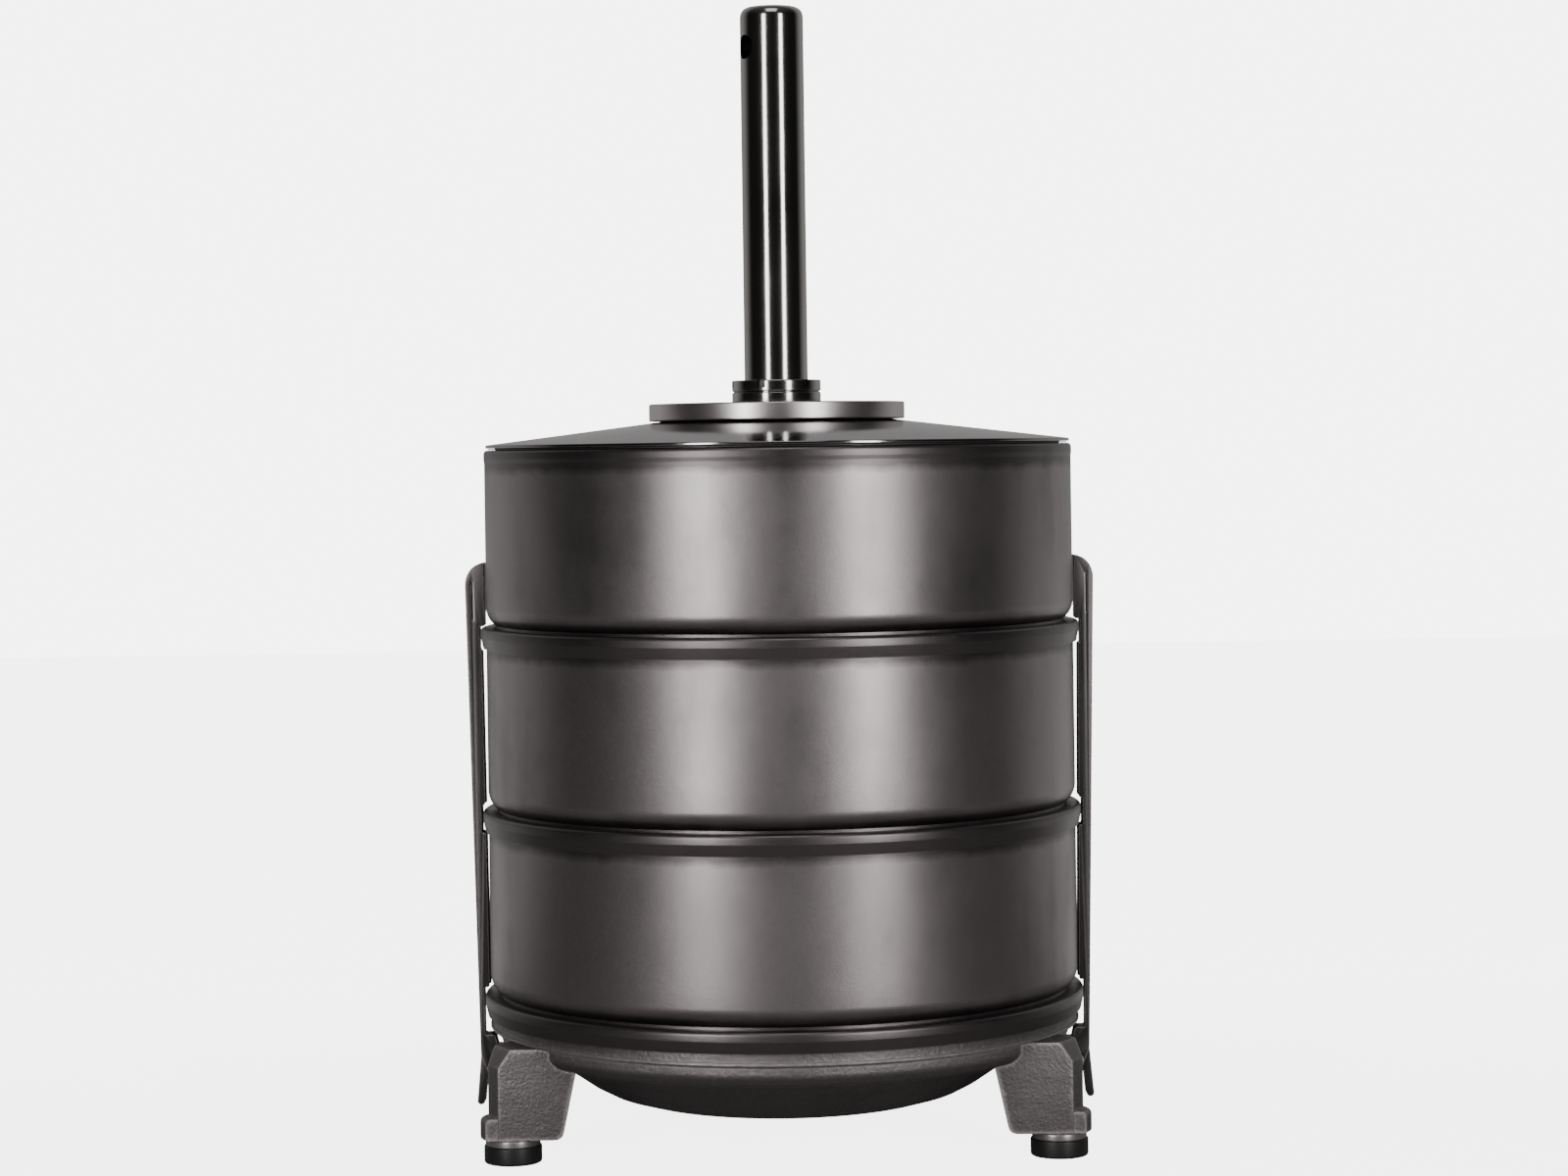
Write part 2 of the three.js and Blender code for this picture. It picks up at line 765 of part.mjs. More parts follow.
// The strap with its hook, seen from the front on the +X side, before anything is cut from it.
function strapOutline() {
  const edge = drumRadius + 1.3;
  const inner = (height) => edge + (height - ledges[0]) * 0.0106;
  const notch = (ledge, drop) => [
    [inner(ledge + 4), ledge + 4],
    [beadClear, ledge + 4],
    [beadClear, ledge - drop],
  ];
  const cheekTop = rimTop - 15;
  const archWide = clampHeadRadius - hookLegInner;
  const archTall = hookTop - clampHeadHeight;
  const arch = arc(0, 0, 1, 0, 90, 5).map(([x, z]) => [
    hookLegInner + archWide * x,
    clampHeadHeight + archTall * z,
  ]);
  return [
    ...arc(pinPlace.x, pinPlace.z, 7, 180, 320, 5),
    [strapOuter(pivotHeight - 4), pivotHeight - 4],
    ...arch,
    [hookLegInner, hookBottom],
    [beadClear, hookBottom],
    [beadClear, ledges[2] - skirtDrop - 4],
    [inner(ledges[2] - skirtDrop - 4), ledges[2] - skirtDrop - 4],
    ...notch(ledges[1], skirtDrop + 4),
    [inner(ledges[1] - skirtDrop - 4), ledges[1] - skirtDrop - 4],
    ...notch(ledges[0], ledges[0] - cheekTop),
    [pinPlace.x - 2.2, cheekTop],
    [pinPlace.x - 7, pinPlace.z + 12],
  ];
}

// The slit that leaves the hook's leg free of the strap behind it.
function hookSlit() {
  const legOuter = hookLegInner + hookLegThickness;
  const top = clampHeadHeight + 4;
  const bottom = hookBottom + 6;
  const outline = [
    [legOuter, bottom],
    [strapOuter(bottom) - hookPlate, bottom],
    [strapOuter(clampHeadHeight) - hookPlate, top],
    [legOuter, top],
  ];
  return solid(slab(outline, 2 * clampWidth));
}

function clampStrap() {
  const cheekGap = clampWidth - 2 * clampCheek;
  const forkTop = rimTop - 3;
  const open = sumpSide - 10; // inside the drum, so that the channel is open towards it
  const channelTop = ledges[2] - 25;
  const channel = slab(
    [
      [open, forkTop - 1],
      [strapOuter(forkTop - 1) - clampPlate, forkTop - 1],
      [strapOuter(channelTop) - clampPlate, channelTop],
      [open, channelTop],
    ],
    cheekGap,
  );
  const fork = new THREE.BoxGeometry(80, cheekGap, 64).translate(drumRadius, 0, forkTop - 32);
  const bore = crossBar(pinRadius + gap, 2 * clampWidth, pinPlace.x, pinPlace.z, 12);
  return solid(slab(strapOutline(), clampWidth))
    .subtract(solid(channel))
    .subtract(solid(fork))
    .subtract(hookSlit())
    .subtract(solid(bore));
}

// The lever nests between the strap's cheeks and straddles the base's lug.
function clampLever() {
  const width = clampWidth - 2 * clampCheek - 1;
  const plateInner = pivotRadius + lugEndRadius + 1;
  const tailRadius = 4;
  const webTop = pivotHeight - 31; // below it the lever is solid from side to side
  const body = slab(
    [
      ...arc(pivotRadius, pivotHeight, 8, 60, 150, 3),
      ...arc(pinPlace.x, pinPlace.z, 7, 180, 250, 3),
      [pivotRadius + 5, webTop],
      ...arc(pivotRadius + 11, leverEnd + tailRadius, tailRadius, 190, 350, 4),
      [pivotRadius + 10.5, pivotHeight - 4],
      [pivotRadius + 9.8, pivotHeight + 2],
    ],
    width,
  );
  const slotWidth = 2 * lugHalfWidth + 0.6;
  const slot = new THREE.BoxGeometry(40, slotWidth, 60).translate(plateInner - 20, 0, webTop + 30);
  const forkBottom = pivotHeight - lugEndRadius - 4;
  const fork = new THREE.BoxGeometry(60, slotWidth, 30).translate(pivotRadius, 0, forkBottom + 15);
  const bores = [
    crossBar(pinRadius + gap, 2 * clampWidth, pivotRadius, pivotHeight, 12),
    crossBar(pinRadius + gap, 2 * clampWidth, pinPlace.x, pinPlace.z, 12),
  ];
  const forked = solid(body).subtract(solid(slot)).subtract(solid(fork));
  return bores.reduce((all, bore) => all.subtract(solid(bore)), forked);
}

// A riveted pin along Y. Heads stand outside the strap's cheeks.
function strapPin() {
  const half = clampWidth / 2 + gap;
  const head = pinRadius + 2;
  return turned(
    [
      [0, -half - 2],
      [head, -half - 1.5],
      [head, -half],
      [pinRadius, -half],
      [pinRadius, half],
      [head, half],
      [head, half + 1.5],
      [0, half + 2],
    ],
    12,
  )
    .rotateX(Math.PI / 2)
    .translate(pinPlace.x, 0, pinPlace.z);
}

function pivotPin() {
  const width = clampWidth - 2 * clampCheek - 1.2;
  return crossBar(pinRadius, width, pivotRadius, pivotHeight, 12);
}

for (const [name, turn] of [
  ["right", 0],
  ["left", Math.PI],
]) {
  const place = new THREE.Group();
  place.rotation.z = turn;
  tumbler.add(place);
  piece(`clamp_strap_${name}`, geometryOf(clampStrap()), "clamp", place);
  piece(`clamp_lever_${name}`, geometryOf(clampLever()), "clamp", place);
  piece(`strap_pin_${name}`, strapPin(), "fastener", place);
  piece(`pivot_pin_${name}`, pivotPin(), "fastener", place);
}

export default tumbler;
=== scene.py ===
# %% [markdown]
# # An upright compost mixer
#
# Three spun-steel drum sections stand on a cast base with three feet. A conical lid carries a bearing
# disc, and a polished shaft turns in it. Two long side clamps pull the stack together.
#
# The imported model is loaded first. It fixes where every piece is and which body each piece moves with.
# Its solids have flat facets, so the pieces that show are made again here as smooth, dense meshes in
# the same places, and the pieces that are hidden inside keep their solids and get a finish.

import json
import math

import bmesh
import bpy
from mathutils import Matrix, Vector


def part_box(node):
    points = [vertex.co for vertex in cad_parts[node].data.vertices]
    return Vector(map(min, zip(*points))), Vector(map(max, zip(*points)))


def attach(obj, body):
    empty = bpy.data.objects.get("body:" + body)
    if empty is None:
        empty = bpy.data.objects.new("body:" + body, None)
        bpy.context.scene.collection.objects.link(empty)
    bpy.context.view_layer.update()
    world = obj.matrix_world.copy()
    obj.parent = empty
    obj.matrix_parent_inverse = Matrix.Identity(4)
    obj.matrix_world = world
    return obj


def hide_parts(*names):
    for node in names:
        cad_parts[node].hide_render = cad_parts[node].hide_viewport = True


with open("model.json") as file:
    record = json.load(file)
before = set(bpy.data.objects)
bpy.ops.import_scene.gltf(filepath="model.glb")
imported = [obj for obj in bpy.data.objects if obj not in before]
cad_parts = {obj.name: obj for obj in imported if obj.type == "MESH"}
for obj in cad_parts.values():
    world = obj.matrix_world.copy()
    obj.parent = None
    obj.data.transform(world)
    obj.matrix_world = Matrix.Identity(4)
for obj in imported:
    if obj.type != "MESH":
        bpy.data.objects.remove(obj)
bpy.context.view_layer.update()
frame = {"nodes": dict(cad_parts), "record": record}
nodes = frame["nodes"]

# %% [markdown]
# ## Sizes
#
# Lengths are written in millimetres, as on a drawing, and turned into metres where a mesh is made.
# Heights come from the frame where a piece seats on another, so that nothing has to be fitted by eye.

# %% Driving sizes
MM = 0.001
DRUM_RADIUS = 300.0
SHEET = 2.5
BEAD_RADIUS = 305.5
NECK_RADIUS = 288.25
SHOULDER_HEIGHT = 21.0
SHOULDER_RADIUS = 22.0
SKIRT_DROP = 20.5
SKIRT_ROOM = 0.5  # the sheet's middle line ends this far above the skirt's lower edge
BEAD_FACE = 9.4
TOP_EDGE_INNER = 289.0
DRUM_SECTIONS = ("lower", "middle", "upper")
ROUND_STEPS = 192
SMALL_STEPS = 64


def top_of(node):
    """The height of a node's highest point, in millimetres."""
    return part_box(node)[1][2] / MM


def bottom_of(node):
    """The height of a node's lowest point, in millimetres."""
    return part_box(node)[0][2] / MM


def reach_of(node):
    """How far a node reaches from the drum's axis along X, in millimetres."""
    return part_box(node)[1][0] / MM


def ledge_of(section):
    """The height of the ledge at a drum section's foot, in millimetres."""
    return bottom_of(f"drum_section_{section}") + SKIRT_DROP + SKIRT_ROOM


print("drum top", round(top_of("drum_section_upper"), 1), "shaft top", round(top_of("drive_shaft"), 1))

# %% [markdown]
# ## Outlines
#
# Nearly everything on this object is round and was spun or turned, so one outline swept about the axis
# gives the whole piece. A real sheet edge or turned corner is never quite sharp. It has a small radius
# that catches a thin line of light, and without that line metal looks like paper. So the outlines have
# their corners rounded in the mesh itself, not only in the shading.


# %% Outline helpers
def arc(centre, radius, start, end, steps):
    """Points on an arc, from one angle to another in degrees, both ends included."""
    points = []
    for i in range(steps + 1):
        angle = math.radians(start + (end - start) * i / steps)
        points.append((centre[0] + radius * math.cos(angle), centre[1] + radius * math.sin(angle)))
    return points


def rounded(outline, radii, closed=True, steps=5):
    """An outline with each corner replaced by a short arc. radii has one radius for each point."""
    points = [Vector(point) for point in outline]
    result = []
    for i, point in enumerate(points):
        at_end = not closed and i in (0, len(points) - 1)
        if radii[i] == 0 or at_end:
            result.append(tuple(point))
            continue
        before = (points[i - 1] - point).normalized()
        after = (points[(i + 1) % len(points)] - point).normalized()
        half_angle = before.angle(after) / 2
        setback = radii[i] / math.tan(half_angle)
        start = point + before * setback
        end = point + after * setback
        for k in range(steps + 1):
            t = k / steps
            blend = start * (1 - t) ** 2 + point * 2 * t * (1 - t) + end * t**2
            result.append(tuple(blend))
    return result


def thickened(path, thickness):
    """The closed outline of a sheet of even thickness whose middle follows a path."""
    points = [Vector(point) for point in path]
    sides = []
    for a, b in zip(points, points[1:]):
        along = (b - a).normalized()
        sides.append(Vector((along.y, -along.x)))
    right, left = [], []
    for i, point in enumerate(points):
        before = sides[max(i - 1, 0)]
        after = sides[min(i, len(sides) - 1)]
        middle = (before + after).normalized()
        offset = middle * (thickness / 2 / middle.dot(before))
        right.append(tuple(point + offset))
        left.append(tuple(point - offset))
    return right + left[::-1]


# %% [markdown]
# ## From outline to mesh
#
# A turned piece could come from a Screw modifier, but plain mesh code is as short and keeps the faces
# in order. A point on the axis becomes a single corner, so that the middle closes without a pinhole.


# %% Mesh helpers
def add_object(name, mesh, sharp_angle=38):
    """Puts a mesh in the scene, smooth except along edges that turn more sharply than the angle."""
    mesh.shade_smooth()
    mesh.set_sharp_from_angle(angle=math.radians(sharp_angle))
    piece = bpy.data.objects.new(name, mesh)
    bpy.context.scene.collection.objects.link(piece)
    return piece


def mesh_from(name, build, sharp_angle=38):
    """Runs a function that fills a bmesh, and returns the finished object."""
    form = bmesh.new()
    build(form)
    bmesh.ops.remove_doubles(form, verts=form.verts, dist=1e-6)
    bmesh.ops.recalc_face_normals(form, faces=form.faces)
    mesh = bpy.data.meshes.new(name)
    form.to_mesh(mesh)
    form.free()
    return add_object(name, mesh, sharp_angle)


def turned(name, outline, steps=ROUND_STEPS, closed=True, sharp_angle=38):
    """Sweeps an outline of (radius, height) points in millimetres about the Z axis."""

    def build(form):
        rings = []
        for radius, height in outline:
            if radius < 1e-6:
                rings.append([form.verts.new((0, 0, height * MM))])
                continue
            ring = []
            for i in range(steps):
                angle = 2 * math.pi * i / steps
                x = radius * math.cos(angle) * MM
                y = radius * math.sin(angle) * MM
                ring.append(form.verts.new((x, y, height * MM)))
            rings.append(ring)
        pairs = list(zip(rings, rings[1:]))
        if closed:
            pairs.append((rings[-1], rings[0]))
        for lower, upper in pairs:
            for i in range(steps):
                j = (i + 1) % steps
                if len(lower) == 1 and len(upper) == 1:
                    continue
                if len(lower) == 1:
                    form.faces.new((lower[0], upper[j], upper[i]))
                elif len(upper) == 1:
                    form.faces.new((lower[i], lower[j], upper[0]))
                else:
                    form.faces.new((lower[i], lower[j], upper[j], upper[i]))

    return mesh_from(name, build, sharp_angle)


def plate(name, outline, depth, sharp_angle=38):
    """An outline of (x, z) points in millimetres, given a depth along Y with its middle at y = 0."""

    def build(form):
        near = [form.verts.new((x * MM, -depth / 2 * MM, z * MM)) for x, z in outline]
        far = [form.verts.new((x * MM, depth / 2 * MM, z * MM)) for x, z in outline]
        form.faces.new(near)
        form.faces.new(far[::-1])
        for i in range(len(outline)):
            j = (i + 1) % len(outline)
            form.faces.new((near[i], far[i], far[j], near[j]))

    return mesh_from(name, build, sharp_angle)


def upright(name, outline, bottom, top, sharp_angle=38):
    """An outline of (x, y) points in millimetres, standing from one height to another."""

    def build(form):
        low = [form.verts.new((x * MM, y * MM, bottom * MM)) for x, y in outline]
        high = [form.verts.new((x * MM, y * MM, top * MM)) for x, y in outline]
        form.faces.new(low[::-1])
        form.faces.new(high)
        for i in range(len(outline)):
            j = (i + 1) % len(outline)
            form.faces.new((low[i], low[j], high[j], high[i]))

    return mesh_from(name, build, sharp_angle)


def settle(piece, sharp_angle=38):
    """Applies a piece's modifiers, so that what is left is plain mesh."""
    graph = bpy.context.evaluated_depsgraph_get()
    mesh = bpy.data.meshes.new_from_object(piece.evaluated_get(graph))
    piece.modifiers.clear()
    piece.data = mesh
    mesh.shade_smooth()
    mesh.set_sharp_from_angle(angle=math.radians(sharp_angle))
    return piece


def combine(piece, tool, operation):
    """Joins a tool to a piece, cuts it away or keeps what both share. The tool is used up."""
    change = piece.modifiers.new(operation.lower(), "BOOLEAN")
    change.operation = operation
    change.solver = "EXACT"
    change.object = tool
    settle(piece)
    bpy.data.objects.remove(tool)
    return piece


def soften(piece, width, segments=3, angle=35):
    """Rounds a piece's edges by a width in millimetres."""
    bevel = piece.modifiers.new("soften", "BEVEL")
    bevel.width = width * MM
    bevel.segments = segments
    bevel.limit_method = "ANGLE"
    bevel.angle_limit = math.radians(angle)
    bevel.harden_normals = False
    return settle(piece)


def placed(piece, turn=0.0, x=0.0, y=0.0, z=0.0):
    """Moves a mesh by millimetres, then turns it about the Z axis by degrees."""
    angle = math.radians(turn)
    for corner in piece.data.vertices:
        px = corner.co.x + x * MM
        py = corner.co.y + y * MM
        corner.co.x = px * math.cos(angle) - py * math.sin(angle)
        corner.co.y = px * math.sin(angle) + py * math.cos(angle)
        corner.co.z += z * MM
    piece.data.update()
    return piece


# %% [markdown]
# ## Shared surface effects
#
# Real metal is never one colour. Three effects return on every finish, so each is a node group with
# named inputs: a fine grain for the bump, soft smudges for the roughness, and wear that brightens the
# edges. They work from the position in space, so no unwrapping is needed.


# %% Node helpers
def new_group(name, inputs, outputs):
    """A shader node group with float or colour sockets, given as (name, kind, default) tuples."""
    group = bpy.data.node_groups.new(name, "ShaderNodeTree")
    for title, kind, default in inputs:
        socket = group.interface.new_socket(title, in_out="INPUT", socket_type=kind)
        socket.default_value = default
    for title, kind in outputs:
        group.interface.new_socket(title, in_out="OUTPUT", socket_type=kind)
    start = group.nodes.new("NodeGroupInput")
    end = group.nodes.new("NodeGroupOutput")
    return group, start, end


def math_node(tree, operation, a, b=None, clamp=False):
    """A Math node whose inputs are sockets or plain numbers."""
    node = tree.nodes.new("ShaderNodeMath")
    node.operation = operation
    node.use_clamp = clamp
    for slot, value in enumerate((a, b)):
        if value is None:
            continue
        if isinstance(value, (int, float)):
            node.inputs[slot].default_value = value
        else:
            tree.links.new(value, node.inputs[slot])
    return node.outputs[0]


def noise(tree, scale, detail=3.0, roughness=0.55, stretch=(1, 1, 1)):
    """Noise over the object's own position, stretched along the axes."""
    place = tree.nodes.new("ShaderNodeTexCoord")
    mapping = tree.nodes.new("ShaderNodeMapping")
    mapping.inputs["Scale"].default_value = stretch
    texture = tree.nodes.new("ShaderNodeTexNoise")
    texture.inputs["Detail"].default_value = detail
    texture.inputs["Roughness"].default_value = roughness
    if isinstance(scale, (int, float)):
        texture.inputs["Scale"].default_value = scale
    else:
        tree.links.new(scale, texture.inputs["Scale"])
    tree.links.new(place.outputs["Object"], mapping.inputs["Vector"])
    tree.links.new(mapping.outputs["Vector"], texture.inputs["Vector"])
    return texture.outputs["Fac"]


def spread(tree, value, low, high, to_low=0.0, to_high=1.0):
    """Maps a value from one range to another and clamps it."""
    node = tree.nodes.new("ShaderNodeMapRange")
    tree.links.new(value, node.inputs["Value"])
    for title, number in (("From Min", low), ("From Max", high), ("To Min", to_low), ("To Max", to_high)):
        if isinstance(number, (int, float)):
            node.inputs[title].default_value = number
        else:
            tree.links.new(number, node.inputs[title])
    return node.outputs["Result"]


# %% The grain group
def make_grain_group():
    group, start, end = new_group(
        "surface_grain",
        [("Size per metre", "NodeSocketFloat", 900.0), ("Coarse share", "NodeSocketFloat", 0.3)],
        [("Height", "NodeSocketFloat")],
    )
    fine = noise(group, start.outputs["Size per metre"], detail=2.0)
    coarse_scale = math_node(group, "MULTIPLY", start.outputs["Size per metre"], 0.16)
    coarse = noise(group, coarse_scale, detail=2.0)
    coarse_part = math_node(group, "MULTIPLY", coarse, start.outputs["Coarse share"])
    height = math_node(group, "ADD", fine, coarse_part)
    group.links.new(height, end.inputs["Height"])
    return group


# %% The smudge group
def make_smudge_group():
    group, start, end = new_group(
        "handling_smudges",
        [("Cleanest", "NodeSocketFloat", 0.25), ("Dullest", "NodeSocketFloat", 0.45)],
        [("Roughness", "NodeSocketFloat"), ("Stain", "NodeSocketFloat")],
    )
    cloud = noise(group, 7.0, detail=5.0, roughness=0.6)
    streak = noise(group, 26.0, detail=4.0, stretch=(1, 1, 0.25))
    cloud_part = math_node(group, "MULTIPLY", cloud, 0.65)
    streak_part = math_node(group, "MULTIPLY", streak, 0.35)
    mixed = math_node(group, "ADD", cloud_part, streak_part)
    rough = spread(group, mixed, 0.35, 0.65, start.outputs["Cleanest"], start.outputs["Dullest"])
    stain = spread(group, mixed, 0.52, 0.68)
    group.links.new(rough, end.inputs["Roughness"])
    group.links.new(stain, end.inputs["Stain"])
    return group


# %% The edge wear group
def make_edge_group():
    group, start, end = new_group(
        "edge_wear",
        [("Width", "NodeSocketFloat", 0.002), ("Raggedness", "NodeSocketFloat", 0.5)],
        [("Mask", "NodeSocketFloat")],
    )
    bevel = group.nodes.new("ShaderNodeBevel")
    bevel.samples = 6
    group.links.new(start.outputs["Width"], bevel.inputs["Radius"])
    geometry = group.nodes.new("ShaderNodeNewGeometry")
    dot = group.nodes.new("ShaderNodeVectorMath")
    dot.operation = "DOT_PRODUCT"
    group.links.new(bevel.outputs["Normal"], dot.inputs[0])
    group.links.new(geometry.outputs["Normal"], dot.inputs[1])
    turn = math_node(group, "SUBTRACT", 1.0, dot.outputs["Value"])
    nearness = math_node(group, "MULTIPLY", turn, 7.0)
    rag = noise(group, 220.0, detail=4.0)
    around_zero = math_node(group, "SUBTRACT", rag, 0.5)
    broken = math_node(group, "MULTIPLY", around_zero, start.outputs["Raggedness"])
    raised = math_node(group, "ADD", nearness, broken)
    mask = spread(group, raised, 0.15, 0.75)
    group.links.new(mask, end.inputs["Mask"])
    return group


GRAIN = make_grain_group()
SMUDGES = make_smudge_group()
EDGES = make_edge_group()
print("node groups", [group.name for group in (GRAIN, SMUDGES, EDGES)])

# %% [markdown]
# ## Finishes
#
# All finishes share one recipe: a base colour that shifts in stains and brightens on worn edges, a
# roughness that the smudges vary, and a bump from the grain. What tells cast iron from polished tube is
# the numbers, so each finish below is one call, and only the drum's finish adds to it.


# %% The recipe
def group_node(tree, group, **values):
    """Places a node group. Its inputs are given by name, with an underscore for each space."""
    node = tree.nodes.new("ShaderNodeGroup")
    node.node_tree = group
    for title, value in values.items():
        node.inputs[title.replace("_", " ")].default_value = value
    return node


def mix_colour(tree, factor, a, b):
    """Mixes two colours. Each is a socket or an (r, g, b) tuple."""
    node = tree.nodes.new("ShaderNodeMix")
    node.data_type = "RGBA"
    tree.links.new(factor, node.inputs["Factor"])
    for slot, colour in ((6, a), (7, b)):
        if isinstance(colour, tuple):
            node.inputs[slot].default_value = (*colour, 1.0)
        else:
            tree.links.new(colour, node.inputs[slot])
    return node.outputs[2]


def finish(name, colour, stain, worn, smooth, dull, metallic=1.0, grain=900.0, coarse=0.3,
           bump=0.1, depth=0.00005, edge=0.0015, ragged=0.5):
    """A material for one finish. Colours are linear, and edge is the width of the wear in metres."""
    material = bpy.data.materials.new(name)
    material.use_nodes = True
    tree = material.node_tree
    shader = tree.nodes["Principled BSDF"]
    smudges = group_node(tree, SMUDGES, Cleanest=smooth, Dullest=dull)
    edges = group_node(tree, EDGES, Width=edge, Raggedness=ragged)
    height = group_node(tree, GRAIN, Size_per_metre=grain, Coarse_share=coarse)
    stained = mix_colour(tree, smudges.outputs["Stain"], colour, stain)
    worn_colour = mix_colour(tree, edges.outputs["Mask"], stained, worn)
    bump_node = tree.nodes.new("ShaderNodeBump")
    bump_node.inputs["Strength"].default_value = bump
    bump_node.inputs["Distance"].default_value = depth
    tree.links.new(height.outputs["Height"], bump_node.inputs["Height"])
    tree.links.new(worn_colour, shader.inputs["Base Color"])
    tree.links.new(smudges.outputs["Roughness"], shader.inputs["Roughness"])
    tree.links.new(bump_node.outputs["Normal"], shader.inputs["Normal"])
    shader.inputs["Metallic"].default_value = metallic
    return material


# %% Spun and turned steels
FINISHES = {}
FINISHES["drum"] = finish(
    "spun_steel", colour=(0.232, 0.210, 0.210), stain=(0.185, 0.168, 0.167), worn=(0.42, 0.39, 0.385),
    smooth=0.30, dull=0.40, grain=1100, bump=0.55, depth=0.00018, edge=0.0012, ragged=0.2,
)
FINISHES["lid"] = finish(
    "lid_steel", colour=(0.225, 0.204, 0.204), stain=(0.185, 0.168, 0.167), worn=(0.5, 0.47, 0.46),
    smooth=0.09, dull=0.15, bump=0.12, edge=0.001, ragged=0.2,
)
FINISHES["machined"] = finish(
    "turned_steel", colour=(0.48, 0.445, 0.44), stain=(0.40, 0.37, 0.365), worn=(0.75, 0.71, 0.70),
    smooth=0.26, dull=0.36, grain=1400, bump=0.2, edge=0.001, ragged=0.2,
)
FINISHES["shaft"] = finish(
    "polished_shaft", colour=(0.32, 0.305, 0.295), stain=(0.27, 0.255, 0.245), worn=(0.5, 0.48, 0.46),
    smooth=0.10, dull=0.17, grain=700, bump=0.05, depth=0.00004, edge=0.001, ragged=0.2,
)

# %% Cast iron and the clamps' dark steel
FINISHES["cast"] = finish(
    "cast_iron", colour=(0.145, 0.131, 0.131), stain=(0.105, 0.095, 0.095), worn=(0.36, 0.335, 0.33),
    smooth=0.42, dull=0.56, metallic=0.85, grain=330, coarse=1.2, bump=0.8, depth=0.0008, edge=0.008,
    ragged=1.3,
)
FINISHES["clamp"] = finish(
    "strap_steel", colour=(0.085, 0.078, 0.077), stain=(0.06, 0.055, 0.055), worn=(0.42, 0.39, 0.385),
    smooth=0.30, dull=0.42, bump=0.3, depth=0.0001, edge=0.0014,
)

# %% The small and hidden pieces
FINISHES["mixer"] = finish(
    "stainless", colour=(0.48, 0.46, 0.44), stain=(0.38, 0.36, 0.34), worn=(0.65, 0.63, 0.6),
    smooth=0.28, dull=0.42, bump=0.2, depth=0.00008, edge=0.0012, ragged=0.4,
)
FINISHES["bronze"] = finish(
    "bronze", colour=(0.50, 0.32, 0.14), stain=(0.36, 0.22, 0.10), worn=(0.7, 0.5, 0.28),
    smooth=0.28, dull=0.4, grain=1200, bump=0.2, edge=0.001, ragged=0.4,
)
FINISHES["rubber"] = finish(
    "rubber", colour=(0.006, 0.006, 0.006), stain=(0.012, 0.011, 0.011), worn=(0.03, 0.03, 0.03),
    smooth=0.36, dull=0.5, metallic=0.0, grain=1500, bump=0.3, depth=0.00008, edge=0.0012, ragged=0.3,
)
FINISHES["fastener"] = finish(
    "fastener_steel", colour=(0.42, 0.40, 0.39), stain=(0.3, 0.29, 0.28), worn=(0.6, 0.58, 0.56),
    smooth=0.25, dull=0.38, grain=1400, bump=0.2, edge=0.0008, ragged=0.4,
)
print("finishes", list(FINISHES))

# %% [markdown]
# ## Painted shade under the beads
#
# The steel is painted darker in a soft band around each bead, as painted shade where the skirt hangs over
# the section below. The bands repeat at the pitch of the sections. Painting them on by hand would tie them
# to one drum, so a mask works them out from the height instead, and a noise breaks up their edges.


# %% The painted shade group
BAND_START = 28.0


def make_painted_bead_shade_group():
    """A mask of painted shade: soft bands that repeat up the drum, one around each bead, broken up by a
    noise.
    """
    group, start, end = new_group(
        "painted_bead_shade",
        [("First ledge", "NodeSocketFloat", 0.147), ("Pitch", "NodeSocketFloat", 0.186)],
        [("Mask", "NodeSocketFloat")],
    )
    place = group.nodes.new("ShaderNodeTexCoord")
    parts = group.nodes.new("ShaderNodeSeparateXYZ")
    group.links.new(place.outputs["Object"], parts.inputs["Vector"])
    below = math_node(group, "SUBTRACT", start.outputs["First ledge"], BAND_START * MM)
    height = math_node(group, "SUBTRACT", parts.outputs["Z"], below)
    cloud = noise(group, 30.0, detail=4.0, stretch=(1, 1, 0.3))
    ragged = math_node(group, "MULTIPLY", cloud, 0.012)
    shifted = math_node(group, "ADD", height, ragged)
    band = math_node(group, "MODULO", shifted, start.outputs["Pitch"])
    rise = spread(group, band, 0.002, 0.010)
    fall = spread(group, band, 0.034, 0.052, 1.0, 0.0)
    mask = math_node(group, "MULTIPLY", rise, fall)
    group.links.new(mask, end.inputs["Mask"])
    return group


def add_painted_bead_shade(material, colour, share):
    """Paints shade on a finish where the bead shade mask is, darkening it by a share of the way to a colour.
    """
    tree = material.node_tree
    shader = tree.nodes["Principled BSDF"]
    clean = shader.inputs["Base Color"].links[0].from_socket
    ledge = ledge_of("lower") * MM
    pitch = (top_of("drum_section_middle") - top_of("drum_section_lower")) * MM
    mask = group_node(tree, make_painted_bead_shade_group(), First_ledge=ledge, Pitch=pitch)
    factor = math_node(tree, "MULTIPLY", mask.outputs["Mask"], share)
    tree.links.new(mix_colour(tree, factor, clean, colour), shader.inputs["Base Color"])


# Painted shade: the drum's steel is darkened towards near-black in a band around each bead, under the
# skirts.
add_painted_bead_shade(FINISHES["drum"], (0.06, 0.053, 0.052), 0.75)
print("painted bead shade from", round(ledge_of("lower") - BAND_START, 1), "mm up")

# %% [markdown]
# ## Standing a smooth piece in for a solid
#
# Each smooth piece takes the body and the material slot of the solid that it replaces, so both are
# looked up from the frame instead of written again. The solids that are replaced are noted, because the
# others get their finish further down.

# %% The stand-in helper
SLOT_OF = {entry["node"]: entry["material_slot"] for entry in frame["record"]["subparts"]}
BODY_OF = {}
for body, members in frame["record"]["behaviour"]["bodies"].items():
    for member in members:
        BODY_OF[member] = body
REPLACED = set()


def dress(piece, slot):
    """Gives an object one finish, over all its faces."""
    piece.data.materials.clear()
    piece.data.materials.append(FINISHES[slot])
    return piece


